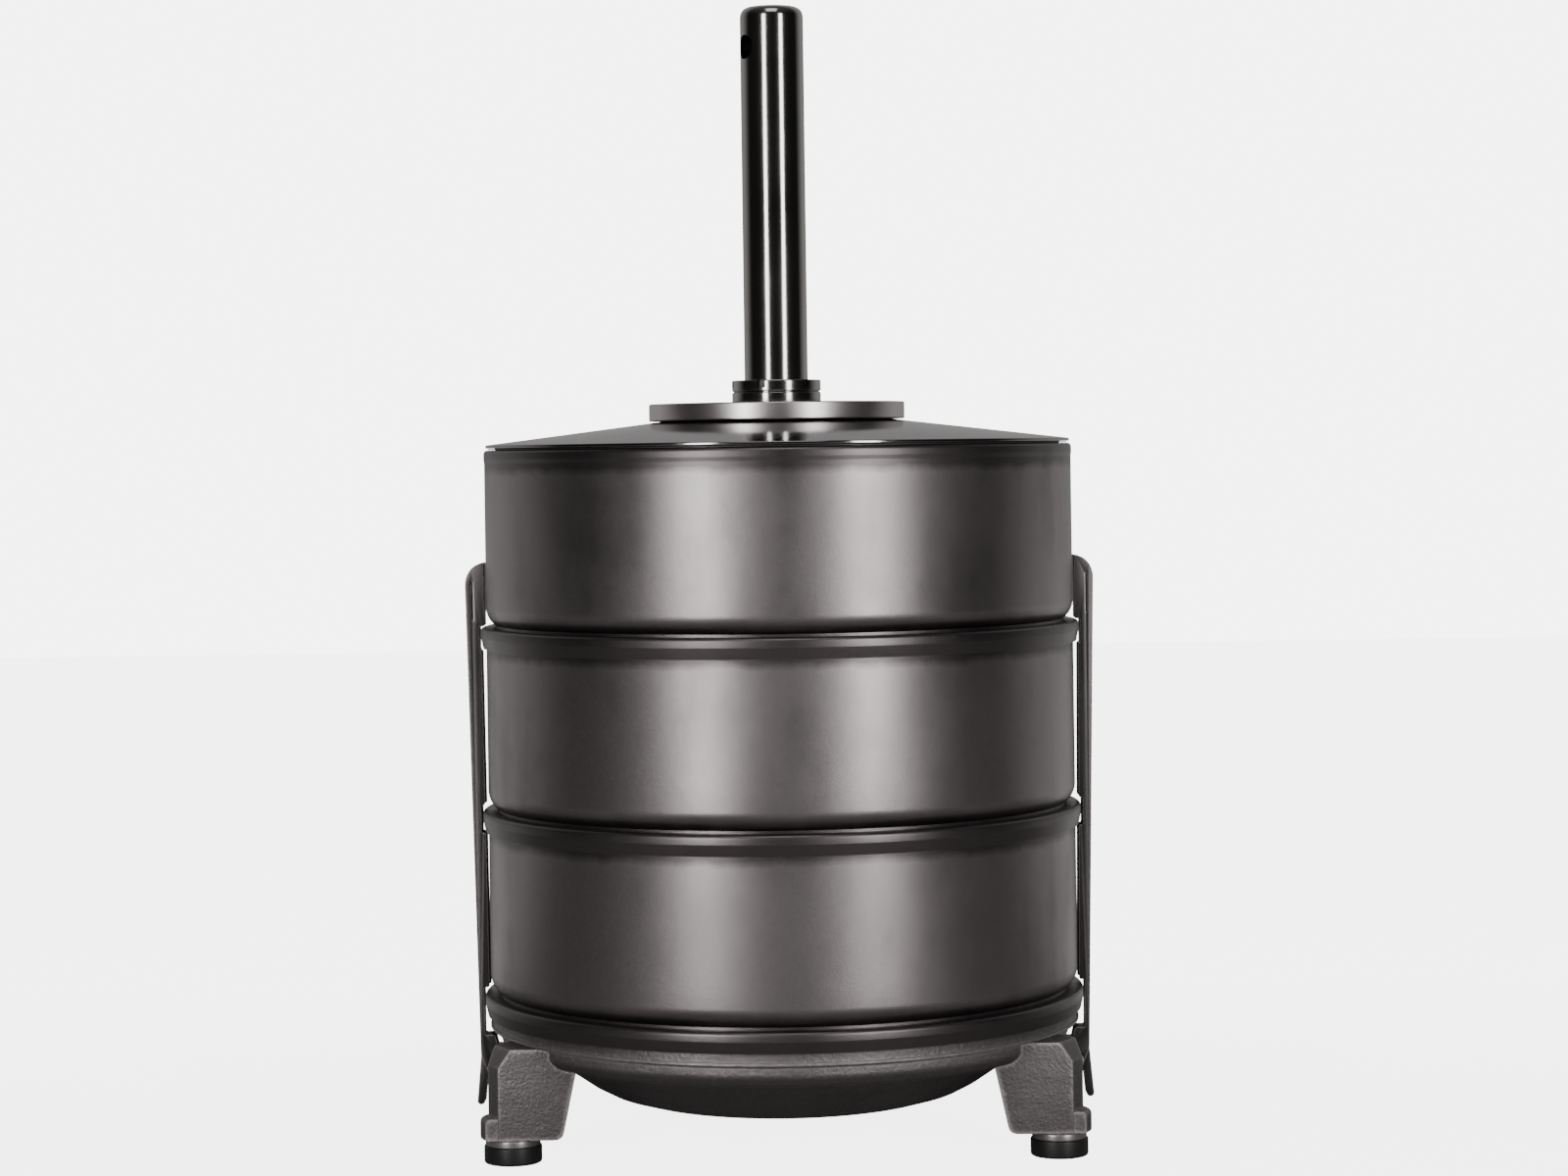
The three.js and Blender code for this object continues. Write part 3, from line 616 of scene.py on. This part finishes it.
def stand_in(piece, node, *others):
    """Makes a piece take the place of one or more solids, on their body and in their finish."""
    dress(piece, SLOT_OF[node])
    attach(piece, BODY_OF[node])
    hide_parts(node, *others)
    REPLACED.update((node, *others))
    return piece


# %% [markdown]
# ## Drum sections
#
# Each section is one sheet, spun over a former. From the bottom it has a skirt that hangs over the
# section below, a bead with a crisp crease, a ledge, a narrow neck and a round shoulder up to the wall.
# The top edge is turned in. A single thickened path gives all of it, and the three sections differ only
# in height.


# %% Make the three sections
def section_path(ledge, top):
    """The middle line of the sheet, from the skirt's lower edge to the turned-in top edge."""
    half = SHEET / 2
    wall = DRUM_RADIUS - half
    neck = NECK_RADIUS + half
    bead = BEAD_RADIUS - half
    centre = wall - SHOULDER_RADIUS
    turn = math.degrees(math.acos((neck - centre) / SHOULDER_RADIUS))
    skirt_flare = 3.15
    foot = [
        (wall + skirt_flare, ledge - SKIRT_DROP),
        (bead, ledge - BEAD_FACE),
        (bead, ledge - half),
        (neck, ledge - half),
    ]
    foot = rounded(foot + [(neck, ledge + 2)], [0, 1.6, 3.0, 0.9, 0], closed=False)
    shoulder = arc((centre, ledge + SHOULDER_HEIGHT), SHOULDER_RADIUS, -turn, 0, 14)
    hem_step = 0.6
    hem = [
        (wall, top - 13),
        (wall + hem_step, top - 9),
        (wall + hem_step, top - half),
        (TOP_EDGE_INNER, top - half),
    ]
    hem = rounded([(wall, ledge + 40)] + hem, [0, 3, 3, 3.2, 0], closed=False)
    return foot[:-1] + shoulder + hem


for name in DRUM_SECTIONS:
    node = f"drum_section_{name}"
    top = top_of(node)
    ledge = ledge_of(name)
    section = turned(f"skin_{node}", thickened(section_path(ledge, top), SHEET))
    stand_in(section, node)
    print(node, "ledge", round(ledge, 1), "top", round(top, 1))

# %% [markdown]
# ## Lid, disc, collar and shaft
#
# These are turned parts that share one axis. The lid is a shallow cone and rather glossy, so it mirrors
# the disc above it. The collar is a ring nut: two tiers with a groove between them, and slots for a hook
# spanner in its top edge. The slots are cut last, so their edges stay square, as a milling cutter leaves
# them.


# %% Make the lid
SEAT_GAP = 0.3


def make_lid():
    low = bottom_of("lid_cone")
    edge_bottom = top_of("lid_seal") + SEAT_GAP
    edge_top = edge_bottom + 3.3
    flat = top_of("lid_cone")
    flat_radius = 118
    spigot = TOP_EDGE_INNER - 0.6
    rim = 298.5
    sheet = 3.0
    slope = (flat - edge_top) / (rim - flat_radius)
    bore = 60.3
    outline = [
        (spigot - sheet, low),
        (spigot, low),
        (spigot, edge_bottom),
        (rim, edge_bottom),
        (rim, edge_top),
        (flat_radius, flat),
        (bore, flat),
        (bore, flat - sheet),
        (flat_radius, flat - sheet),
        (spigot - sheet, edge_top - sheet + (rim - spigot + sheet) * slope),
    ]
    radii = [0.5, 0.5, 0.8, 1.2, 1.4, 12, 0.5, 0.5, 12, 1.5]
    return turned("skin_lid_cone", rounded(outline, radii))


stand_in(make_lid(), "lid_cone")


# %% Make the bearing disc
def make_disc():
    top = top_of("bearing_disc")
    bottom = top_of("lid_cone") + SEAT_GAP
    foot = bottom_of("bearing_disc")
    bore = reach_of("upper_bush") + SEAT_GAP
    hub = 60
    rim = 131
    outline = [(bore, foot), (hub, foot), (hub, bottom), (rim, bottom), (rim, top), (bore, top)]
    return turned("skin_bearing_disc", rounded(outline, [0.4, 0.6, 1.0, 1.6, 1.8, 0.4]))


stand_in(make_disc(), "bearing_disc")


# %% Make the slotted collar
def make_collar():
    bottom = bottom_of("slotted_collar")
    top = top_of("slotted_collar")
    radius = reach_of("slotted_collar")
    bore = 33.6
    groove = bottom + 10.5
    outline = [
        (bore, bottom),
        (radius, bottom),
        (radius, groove - 0.5),
        (radius - 2.2, groove + 0.6),
        (radius, groove + 1.7),
        (radius, top),
        (bore, top),
    ]
    outline = rounded(outline, [0.3, 0.8, 0.7, 0.5, 0.7, 1.4, 0.8])
    collar = turned("skin_slotted_collar", outline, steps=144)
    for k in range(6):
        slot = upright(f"slot_{k}", [(-6, -4.5), (12, -4.5), (12, 4.5), (-6, 4.5)], top - 8, top + 5)
        combine(collar, placed(slot, turn=10 + 60 * k, x=radius), "DIFFERENCE")
    return collar


stand_in(make_collar(), "slotted_collar")


# %% Make the shaft
def make_shaft():
    foot = bottom_of("drive_shaft")
    top = top_of("shaft_head")
    radius = reach_of("drive_shaft")
    bore = radius - 5.5
    head = top - 67
    hole = 12.5
    outline = [(0, head), (bore, head), (bore, foot), (radius, foot), (radius, top), (0, top)]
    outline = rounded(outline, [0, 2, 0.8, 0.8, 12, 0], closed=False, steps=10)
    shaft = turned("skin_drive_shaft", outline, steps=144, closed=False)
    drill = turned("drill", [(0, -50), (hole, -50), (hole, 50), (0, 50)], steps=SMALL_STEPS, closed=False)
    for corner in drill.data.vertices:
        x, y, z = corner.co
        corner.co = (z, y, -x)
    combine(shaft, placed(drill, turn=210, z=top - 42), "DIFFERENCE")
    return shaft


stand_in(make_shaft(), "drive_shaft", "shaft_head")

# %% [markdown]
# ## Base casting
#
# The base is one iron casting: a bowl with a rim and an upstand, and three wedge-shaped legs. The bowl is
# turned, and the legs are drawn in plan, trimmed to their side outline and joined to it. A casting has no
# sharp edges, so the legs are rounded before they are joined.


# %% Bowl outline
CAST_WALL = 7.0
RIM_RADIUS = 300.5
BOWL_SIDE = 290.0
BOWL_DEPTH = 82.0
UPSTAND = 24.4
UPSTAND_RADIUS = 298.5
DRAIN_PLACE = -90.0


def bowl_outline(hollow):
    """The bowl's outside, or its hollow with the boss for the lower bearing left standing."""
    top = top_of("base_casting")
    rim = top - UPSTAND
    wall = CAST_WALL if hollow else 0
    floor = rim - BOWL_DEPTH + wall
    side = BOWL_SIDE - wall
    inset = 4 if hollow else 0
    curve = [
        (130 - inset, floor),
        (158 - inset, floor + 4),
        (182 - inset, floor + 11),
        (200 - inset, floor + 20.5),
        (230 - inset, floor + 41),
        (255 - inset, floor + 51),
        (side - 8, floor + 58),
        (side, floor + 66 - inset),
    ]
    bends = [20, 16, 16, 16, 20, 20, 10, 10]
    if hollow:
        ledge = rim - 12
        mouth = 288
        boss = 50
        boss_top = 100
        over = top + 10
        outline = [(boss, floor)] + curve
        outline += [(side, ledge), (mouth, ledge), (mouth, over), (0, over), (0, boss_top), (boss, boss_top)]
        return rounded(outline, [4] + bends[:-1] + [3, 1, 1, 0, 0, 0, 2])
    outline = [(0, floor)] + curve
    outline += [(side, rim - 5), (RIM_RADIUS, rim - 3), (RIM_RADIUS, rim)]
    outline += [(UPSTAND_RADIUS, rim), (UPSTAND_RADIUS, top), (0, top)]
    return rounded(outline, [0] + bends + [2, 0.9, 0.9, 0.4, 0.8, 0], closed=False)


# %% Legs
FEET = {"back": 90, "left": 210, "right": 330}
FOOT_CIRCLE = 310.0
BOSS_RADIUS = 32.0
BOSS_HEIGHT = 21.0
NOSE_REACH = 331.0
NOSE_HALF = 11.5
FLANK = math.radians(30)


def leg_plan():
    """A wedge with two straight sides, from under the bowl out to a blunt nose."""
    root_x = 249.0
    root_y = NOSE_HALF + (NOSE_REACH - root_x) * math.tan(FLANK)
    nose = [(NOSE_REACH, -NOSE_HALF), (NOSE_REACH, NOSE_HALF)]
    return nose + [(root_x, root_y), (root_x, -root_y)]


def make_leg(turn):
    """One leg without its foot boss, at an angle about the axis."""
    bottom = top_of("foot_ring_back") + SEAT_GAP
    rim = top_of("base_casting") - UPSTAND
    top = rim - 4
    leg = upright("leg", leg_plan(), bottom, top)
    side = [
        (277, bottom),
        (NOSE_REACH + 1, bottom),
        (NOSE_REACH + 1, rim - 24),
        (NOSE_REACH - 11, top + 1),
        (280, top + 1),
        (262, rim - 20),
        (265, rim - 28),
    ]
    trim = plate("trim", rounded(side, [9, 0, 8, 8, 0, 0, 3]), 300)
    combine(leg, trim, "INTERSECT")
    soften(leg, 5.5, segments=5, angle=25)
    return placed(leg, turn=turn)


def make_boss(turn):
    """The round boss over a foot. The two front ones are flush with the legs' front faces."""
    bottom = top_of("foot_ring_back") + SEAT_GAP
    top = bottom + BOSS_HEIGHT
    outline = [(0, bottom), (BOSS_RADIUS, bottom), (BOSS_RADIUS, top), (0, top)]
    outline = rounded(outline, [0, 2.5, 5, 0], closed=False)
    boss = placed(turned("boss", outline, steps=SMALL_STEPS, closed=False), turn=turn, x=FOOT_CIRCLE)
    face = 1 - NOSE_REACH * math.sin(FLANK) - NOSE_HALF * math.cos(FLANK)
    far = face - 61
    wide = 400
    ahead = upright("ahead", [(-wide, far), (wide, far), (wide, face), (-wide, face)], 0, 80)
    return combine(boss, ahead, "DIFFERENCE")


# %% Tongues that the levers turn on, and round tools
PIVOT = (300.5, 87.0)
TONGUE_WIDTH = 12.6


def make_tongue():
    """The right-hand tongue, which stands out from the bowl with a round end at the lever's pivot."""
    z = PIVOT[1]
    root_x = 266
    half = 5
    outline = [(root_x, z - half)] + arc(PIVOT, half, -90, 90, 12) + [(root_x, z + half)]
    return plate("tongue", outline, TONGUE_WIDTH)


def rod(name, radius, bottom, top):
    """A round bar on the axis, from one height to another in millimetres."""
    outline = [(0, bottom), (radius, bottom), (radius, top), (0, top)]
    return turned(name, outline, steps=SMALL_STEPS, closed=False)


# %% Join the casting
def make_casting():
    """The bowl with its legs, bosses and tongues, then hollowed and drilled."""
    casting = turned("skin_base_casting", bowl_outline(hollow=False), closed=False)
    for turn in FEET.values():
        combine(casting, make_leg(turn), "UNION")
        combine(casting, make_boss(turn), "UNION")
    for turn in (0, 180):
        combine(casting, placed(make_tongue(), turn=turn), "UNION")
    combine(casting, turned("hollow", bowl_outline(hollow=True)), "DIFFERENCE")
    combine(casting, rod("socket", 39.5, 55, 120), "DIFFERENCE")
    combine(casting, placed(rod("drain_boss", 24, 37, 50), y=DRAIN_PLACE), "UNION")
    combine(casting, placed(rod("drain", 16.3, 20, 80), y=DRAIN_PLACE), "DIFFERENCE")
    return casting


casting = stand_in(make_casting(), "base_casting")
print("casting faces", len(casting.data.polygons))

# %% [markdown]
# ## Feet
#
# Each foot is a black rubber pad under a steel ring. Both are turned. The pad has a round lower edge,
# and the ring shows as one bright line under the casting.


# %% Make the feet
def make_foot(name, turn):
    """One pad and its ring. The bolt's head is sunk in a recess in the pad's underside."""
    bore = 5.3
    recess = 8.5
    recess_top = 10
    pad_radius = 28.5
    ring_radius = 27
    pad_top = top_of(f"foot_pad_{name}")
    ring_low = bottom_of(f"foot_ring_{name}")
    ring_top = top_of(f"foot_ring_{name}")
    pad = [(recess, 0), (pad_radius, 0), (pad_radius, pad_top), (bore, pad_top)]
    pad = rounded(pad + [(bore, recess_top), (recess, recess_top)], [0.5, 3, 1, 0.3, 0.3, 0.3])
    pad_piece = turned(f"skin_foot_pad_{name}", pad, steps=SMALL_STEPS)
    stand_in(placed(pad_piece, turn=turn, x=FOOT_CIRCLE), f"foot_pad_{name}")
    ring = [(bore, ring_low), (ring_radius, ring_low), (ring_radius, ring_top), (bore, ring_top)]
    ring_piece = turned(f"skin_foot_ring_{name}", rounded(ring, [0.3, 0.8, 0.8, 0.3]), steps=SMALL_STEPS)
    stand_in(placed(ring_piece, turn=turn, x=FOOT_CIRCLE), f"foot_ring_{name}")


for name, turn in FEET.items():
    make_foot(name, turn)
print("feet", list(FEET))

# %% [markdown]
# ## Clamps
#
# Each clamp is a strap with its hook, bent from one plate, and a lever at its foot. Both are drawn from
# the front, as they stand on the right, and given their width. The strap is then hollowed into a channel
# that is open towards the drum, and its edges are rounded, so that the worn edges catch the light.

# %% Sizes of the clamps
CLAMP_WIDTH = 30.0
CHEEK = 4.0
PIN = (299.0, 69.0)
PIN_BORE = 3.8
HOOK_INNER = 302.0
HEAD_OUTER = 321.0
FOOT_OUTER = 311.0
LEDGES = [ledge_of(name) for name in DRUM_SECTIONS]
HOOK_TOP = top_of("clamp_strap_right")
HEAD_HEIGHT = HOOK_TOP - 22.5
HOOK_BOTTOM = LEDGES[2] + 0.5


def strap_outer(height):
    """How far out the strap's outer face is at a height. It leans outwards a little."""
    return FOOT_OUTER + (height - PIVOT[1]) * (HEAD_OUTER - FOOT_OUTER) / (HEAD_HEIGHT - PIVOT[1])


def strap_inner(height):
    """How far out the strap's inner face is at a height, between the beads. It leans out less."""
    clearance = 1.3
    lean = 0.0106
    return DRUM_RADIUS + clearance + (height - LEDGES[0]) * lean


def pin_hole(centre):
    """A round tool through the whole clamp, for the hole of a pin."""
    return plate("pin_hole", arc(centre, PIN_BORE, 0, 354, 59), 2 * CLAMP_WIDTH)


# %% Make a strap
def hook_arch():
    """A quarter of an ellipse, from the strap's outer face over to the top of the hook."""
    across = HEAD_OUTER - HOOK_INNER
    rise = HOOK_TOP - HEAD_HEIGHT
    return [(HOOK_INNER + across * x, HEAD_HEIGHT + rise * z) for x, z in arc((0, 0), 1, 0, 90, 16)]


def strap_outline():
    """The strap and its hook seen from the front, with a notch that clears each bead."""
    clear = BEAD_RADIUS + 1.8
    above = 4
    below = SKIRT_DROP + 4
    heel = PIN[0] - 7
    fork_top = 102
    low, middle, high = LEDGES
    inner_side = [(HOOK_INNER, HOOK_BOTTOM), (clear, HOOK_BOTTOM)]
    for upper, lower in ((high, middle), (middle, low)):
        between = (upper - below, lower + above)
        inner_side.append((clear, between[0]))
        inner_side += [(strap_inner(height), height) for height in between]
        inner_side.append((clear, between[1]))
    inner_side += [(clear, fork_top), (PIN[0] - 2.2, fork_top), (heel, PIN[1] + 12)]
    radii = [1.5] + [2] * (len(inner_side) - 3) + [3, 5]
    arch = hook_arch()
    inside = rounded([arch[-1]] + inner_side + [(heel, PIN[1])], [0] + radii + [0], closed=False)
    foot = arc(PIN, 7, 180, 320, 16)
    knee = PIVOT[1] - 4
    return foot + [(strap_outer(knee), knee)] + arch + inside[1:-1]


def hook_slit():
    """The narrow gap between the strap's plate and the leg of its hook."""
    low = HOOK_BOTTOM + 6
    high = HEAD_HEIGHT + 4
    leg = HOOK_INNER + 10.5
    plate_inside = [(strap_outer(low) - 6, low), (HEAD_OUTER - 6, high)]
    return rounded([(leg, low)] + plate_inside + [(leg, high)], [0.6] * 4)


def make_strap():
    """The strap, hollow towards the drum and forked at its foot, where it takes the lever."""
    between = CLAMP_WIDTH - 2 * CHEEK
    fork = 114.0
    end = LEDGES[2] - 25
    strap = plate("skin_clamp_strap_right", strap_outline(), CLAMP_WIDTH)
    back = [(strap_outer(fork) - CHEEK, fork - 1), (strap_outer(end) - CHEEK, end)]
    combine(strap, plate("channel", [(280, fork - 1)] + back + [(280, end)], between), "DIFFERENCE")
    combine(strap, plate("fork", [(260, 50), (340, 50), (340, fork), (260, fork)], between), "DIFFERENCE")
    combine(strap, plate("slit", hook_slit(), 2 * CLAMP_WIDTH), "DIFFERENCE")
    combine(strap, pin_hole(PIN), "DIFFERENCE")
    return soften(strap, 0.8, segments=3, angle=50)


# %% Make a lever
def make_lever():
    """The lever has a round tail. Its head straddles the tongue on the casting."""
    width = CLAMP_WIDTH - 2 * CHEEK - 1
    slot = TONGUE_WIDTH + 2 * SEAT_GAP
    x, z = PIVOT
    tail = arc((x + 11, bottom_of("clamp_lever_right") + 4), 4, 190, 350, 16)
    outline = arc(PIVOT, 8, 60, 150, 12) + arc(PIN, 7, 180, 250, 12) + [(x + 5, z - 31)] + tail
    outline += [(x + 10.5, z - 4), (x + 9.8, z + 2)]
    lever = plate("skin_clamp_lever_right", outline, width)
    web = [(x - 34, z - 31), (x + 6, z - 31), (x + 6, z + 29), (x - 34, z + 29)]
    combine(lever, plate("web", web, slot), "DIFFERENCE")
    head = [(x - 30, z - 9), (x + 30, z - 9), (x + 30, z + 21), (x - 30, z + 21)]
    combine(lever, plate("head", head, slot), "DIFFERENCE")
    for centre in (PIVOT, PIN):
        combine(lever, pin_hole(centre), "DIFFERENCE")
    return soften(lever, 0.8, segments=3, angle=50)


# %% Place the clamps on both sides
CLAMP_PARTS = {"clamp_strap": make_strap, "clamp_lever": make_lever}
for part, make in CLAMP_PARTS.items():
    right = make()
    left = right.copy()
    left.data = right.data.copy()
    left.name = f"skin_{part}_left"
    bpy.context.scene.collection.objects.link(left)
    stand_in(placed(left, turn=180), f"{part}_left")
    stand_in(right, f"{part}_right")
    print(part, "faces", len(right.data.polygons))

# %% [markdown]
# ## Seals and pieces that keep their solids
#
# The seals and bushes are plain rings, turned again so that no facet shows where an edge of them can be
# seen. The mixer, pins, screws and plug keep their solids. A Bevel modifier rounds their edges, which
# changes how they look and leaves the solid as it was.


# %% Seals and bushes
RING_BORES = {
    "base_seal": 291.0,
    "joint_seal_lower": 291.0,
    "joint_seal_upper": 291.0,
    "lid_seal": 290.0,
    "upper_bush": 33.0,
    "lower_bush": 33.0,
}


def make_ring(node, inner):
    """A plain ring with the solid's outside and height, and its own bore radius."""
    outer = reach_of(node)
    bottom = bottom_of(node)
    top = top_of(node)
    outline = rounded([(inner, bottom), (outer, bottom), (outer, top), (inner, top)], [0.3] * 4, steps=2)
    stand_in(turned(f"skin_{node}", outline), node)


for node, bore in RING_BORES.items():
    make_ring(node, bore)
print("rings", len(RING_BORES))


# %% Pieces that keep their solids
def keep_solid(node, width=0.6):
    """Gives a CAD solid its finish, and edges rounded by a width in millimetres."""
    solid = dress(nodes[node], SLOT_OF[node])
    bevel = solid.modifiers.new("soft_edges", "BEVEL")
    bevel.width = width * MM
    bevel.segments = 2
    bevel.limit_method = "ANGLE"
    bevel.angle_limit = math.radians(40)


kept = [node for node in nodes if node not in REPLACED]
for node in kept:
    keep_solid(node)
print("kept solids", len(kept))

# %% [markdown]
# ## Studio
#
# Polished metal shows its surroundings more than its own colour. Two tall soft boxes in front of the
# object, left and right, draw the two broad vertical highlights, and a weak one overhead lights the
# lid. The room in front is dark. It is paler at the sides and behind, which gives the pale edges. Only
# the camera sees the floor and the room as white, so that the object stands against a plain backdrop
# without being flooded with light.


# %% Floor
PALE = (1, 0.995, 0.985, 1)


def floor_material():
    """White to the camera, dull to the other rays, with a glow that grows behind the object."""
    material = bpy.data.materials.new("floor")
    material.use_nodes = True
    tree = material.node_tree
    shader = tree.nodes["Principled BSDF"]
    shader.inputs["Roughness"].default_value = 0.8
    path = tree.nodes.new("ShaderNodeLightPath")
    colour = mix_colour(tree, path.outputs["Is Camera Ray"], (0.26, 0.255, 0.25), (0.92, 0.92, 0.91))
    tree.links.new(colour, shader.inputs["Base Color"])
    place = tree.nodes.new("ShaderNodeNewGeometry")
    parts = tree.nodes.new("ShaderNodeSeparateXYZ")
    tree.links.new(place.outputs["Position"], parts.inputs["Vector"])
    behind = spread(tree, parts.outputs["Y"], 0.15, 1.0, 0.0, 0.5)
    seen = math_node(tree, "MULTIPLY", path.outputs["Is Camera Ray"], 4.6)
    glow = math_node(tree, "ADD", behind, seen)
    shader.inputs["Emission Color"].default_value = PALE
    tree.links.new(glow, shader.inputs["Emission Strength"])
    return material


def make_floor(half=9.0):
    """A level square around the object. half is half its width, in metres."""
    corners = [(-half, -half, 0), (half, -half, 0), (half, half, 0), (-half, half, 0)]
    mesh = bpy.data.meshes.new("floor")
    mesh.from_pydata(corners, [], [(0, 1, 2, 3)])
    mesh.materials.append(floor_material())
    floor = bpy.data.objects.new("floor", mesh)
    bpy.context.scene.collection.objects.link(floor)


make_floor()


# %% Room
def make_room():
    """Dark in front, pale at the sides and behind, and white where the camera looks past the object."""
    world = bpy.data.worlds.new("room")
    bpy.context.scene.world = world
    world.use_nodes = True
    tree = world.node_tree
    background = tree.nodes["Background"]
    direction = tree.nodes.new("ShaderNodeTexCoord")
    parts = tree.nodes.new("ShaderNodeSeparateXYZ")
    tree.links.new(direction.outputs["Generated"], parts.inputs["Vector"])
    side = spread(tree, parts.outputs["Y"], 0.1, 0.6, 0.02, 0.5)
    behind = spread(tree, parts.outputs["Y"], 0.7, 0.98, 0.0, -0.14)
    above = spread(tree, parts.outputs["Z"], 0.35, 0.95, 0.0, 0.12)
    around = math_node(tree, "ADD", side, behind)
    level = math_node(tree, "ADD", around, above)
    path = tree.nodes.new("ShaderNodeLightPath")
    choice = tree.nodes.new("ShaderNodeMix")
    tree.links.new(path.outputs["Is Camera Ray"], choice.inputs["Factor"])
    tree.links.new(level, choice.inputs["A"])
    choice.inputs["B"].default_value = 6.0
    tree.links.new(choice.outputs["Result"], background.inputs["Strength"])
    background.inputs["Color"].default_value = PALE


make_room()


# %% Lights
def soft_box(name, azimuth, distance, height, width, tall, power, aim=0.45):
    """A soft box at an angle from the front, in degrees to the right, aimed at a height on the axis."""
    light = bpy.data.lights.new(name, "AREA")
    light.shape = "RECTANGLE"
    light.size = width
    light.size_y = tall
    light.energy = power
    angle = math.radians(azimuth)
    box = bpy.data.objects.new(name, light)
    box.location = (distance * math.sin(angle), -distance * math.cos(angle), height)
    towards = Vector((0, 0, aim)) - box.location
    box.rotation_euler = towards.to_track_quat("-Z", "Y").to_euler()
    bpy.context.scene.collection.objects.link(box)
    return box


soft_box("left_soft_box", -28.5, 3.2, 0.9, 0.55, 2.4, 62)
soft_box("right_soft_box", 33, 3.2, 0.9, 0.55, 2.4, 62)
soft_box("top_soft_box", 0, 1.6, 3.0, 1.4, 1.4, 16)

# %% [markdown]
# ## Camera
#
# The camera stands a little below the height of the lid and looks straight ahead, with a slight lean to
# one side. A small downward shift frames the object without tilting the view, so that upright edges
# stay parallel.

# %% Camera
CAMERA_PLACE = (0.007, -3.73, 0.698)
CAMERA_LEAN = math.radians(-0.78)
camera_data = bpy.data.cameras.new("camera")
camera_data.sensor_width = 36.0
camera_data.lens = 83.4975
camera_data.shift_y = -0.089375
camera = bpy.data.objects.new("camera", camera_data)
camera.location = CAMERA_PLACE
camera.rotation_euler = (math.radians(90), 0, 0)
camera.rotation_euler.rotate_axis("Z", CAMERA_LEAN)
bpy.context.scene.collection.objects.link(camera)
bpy.context.scene.camera = camera
print("camera", CAMERA_PLACE)
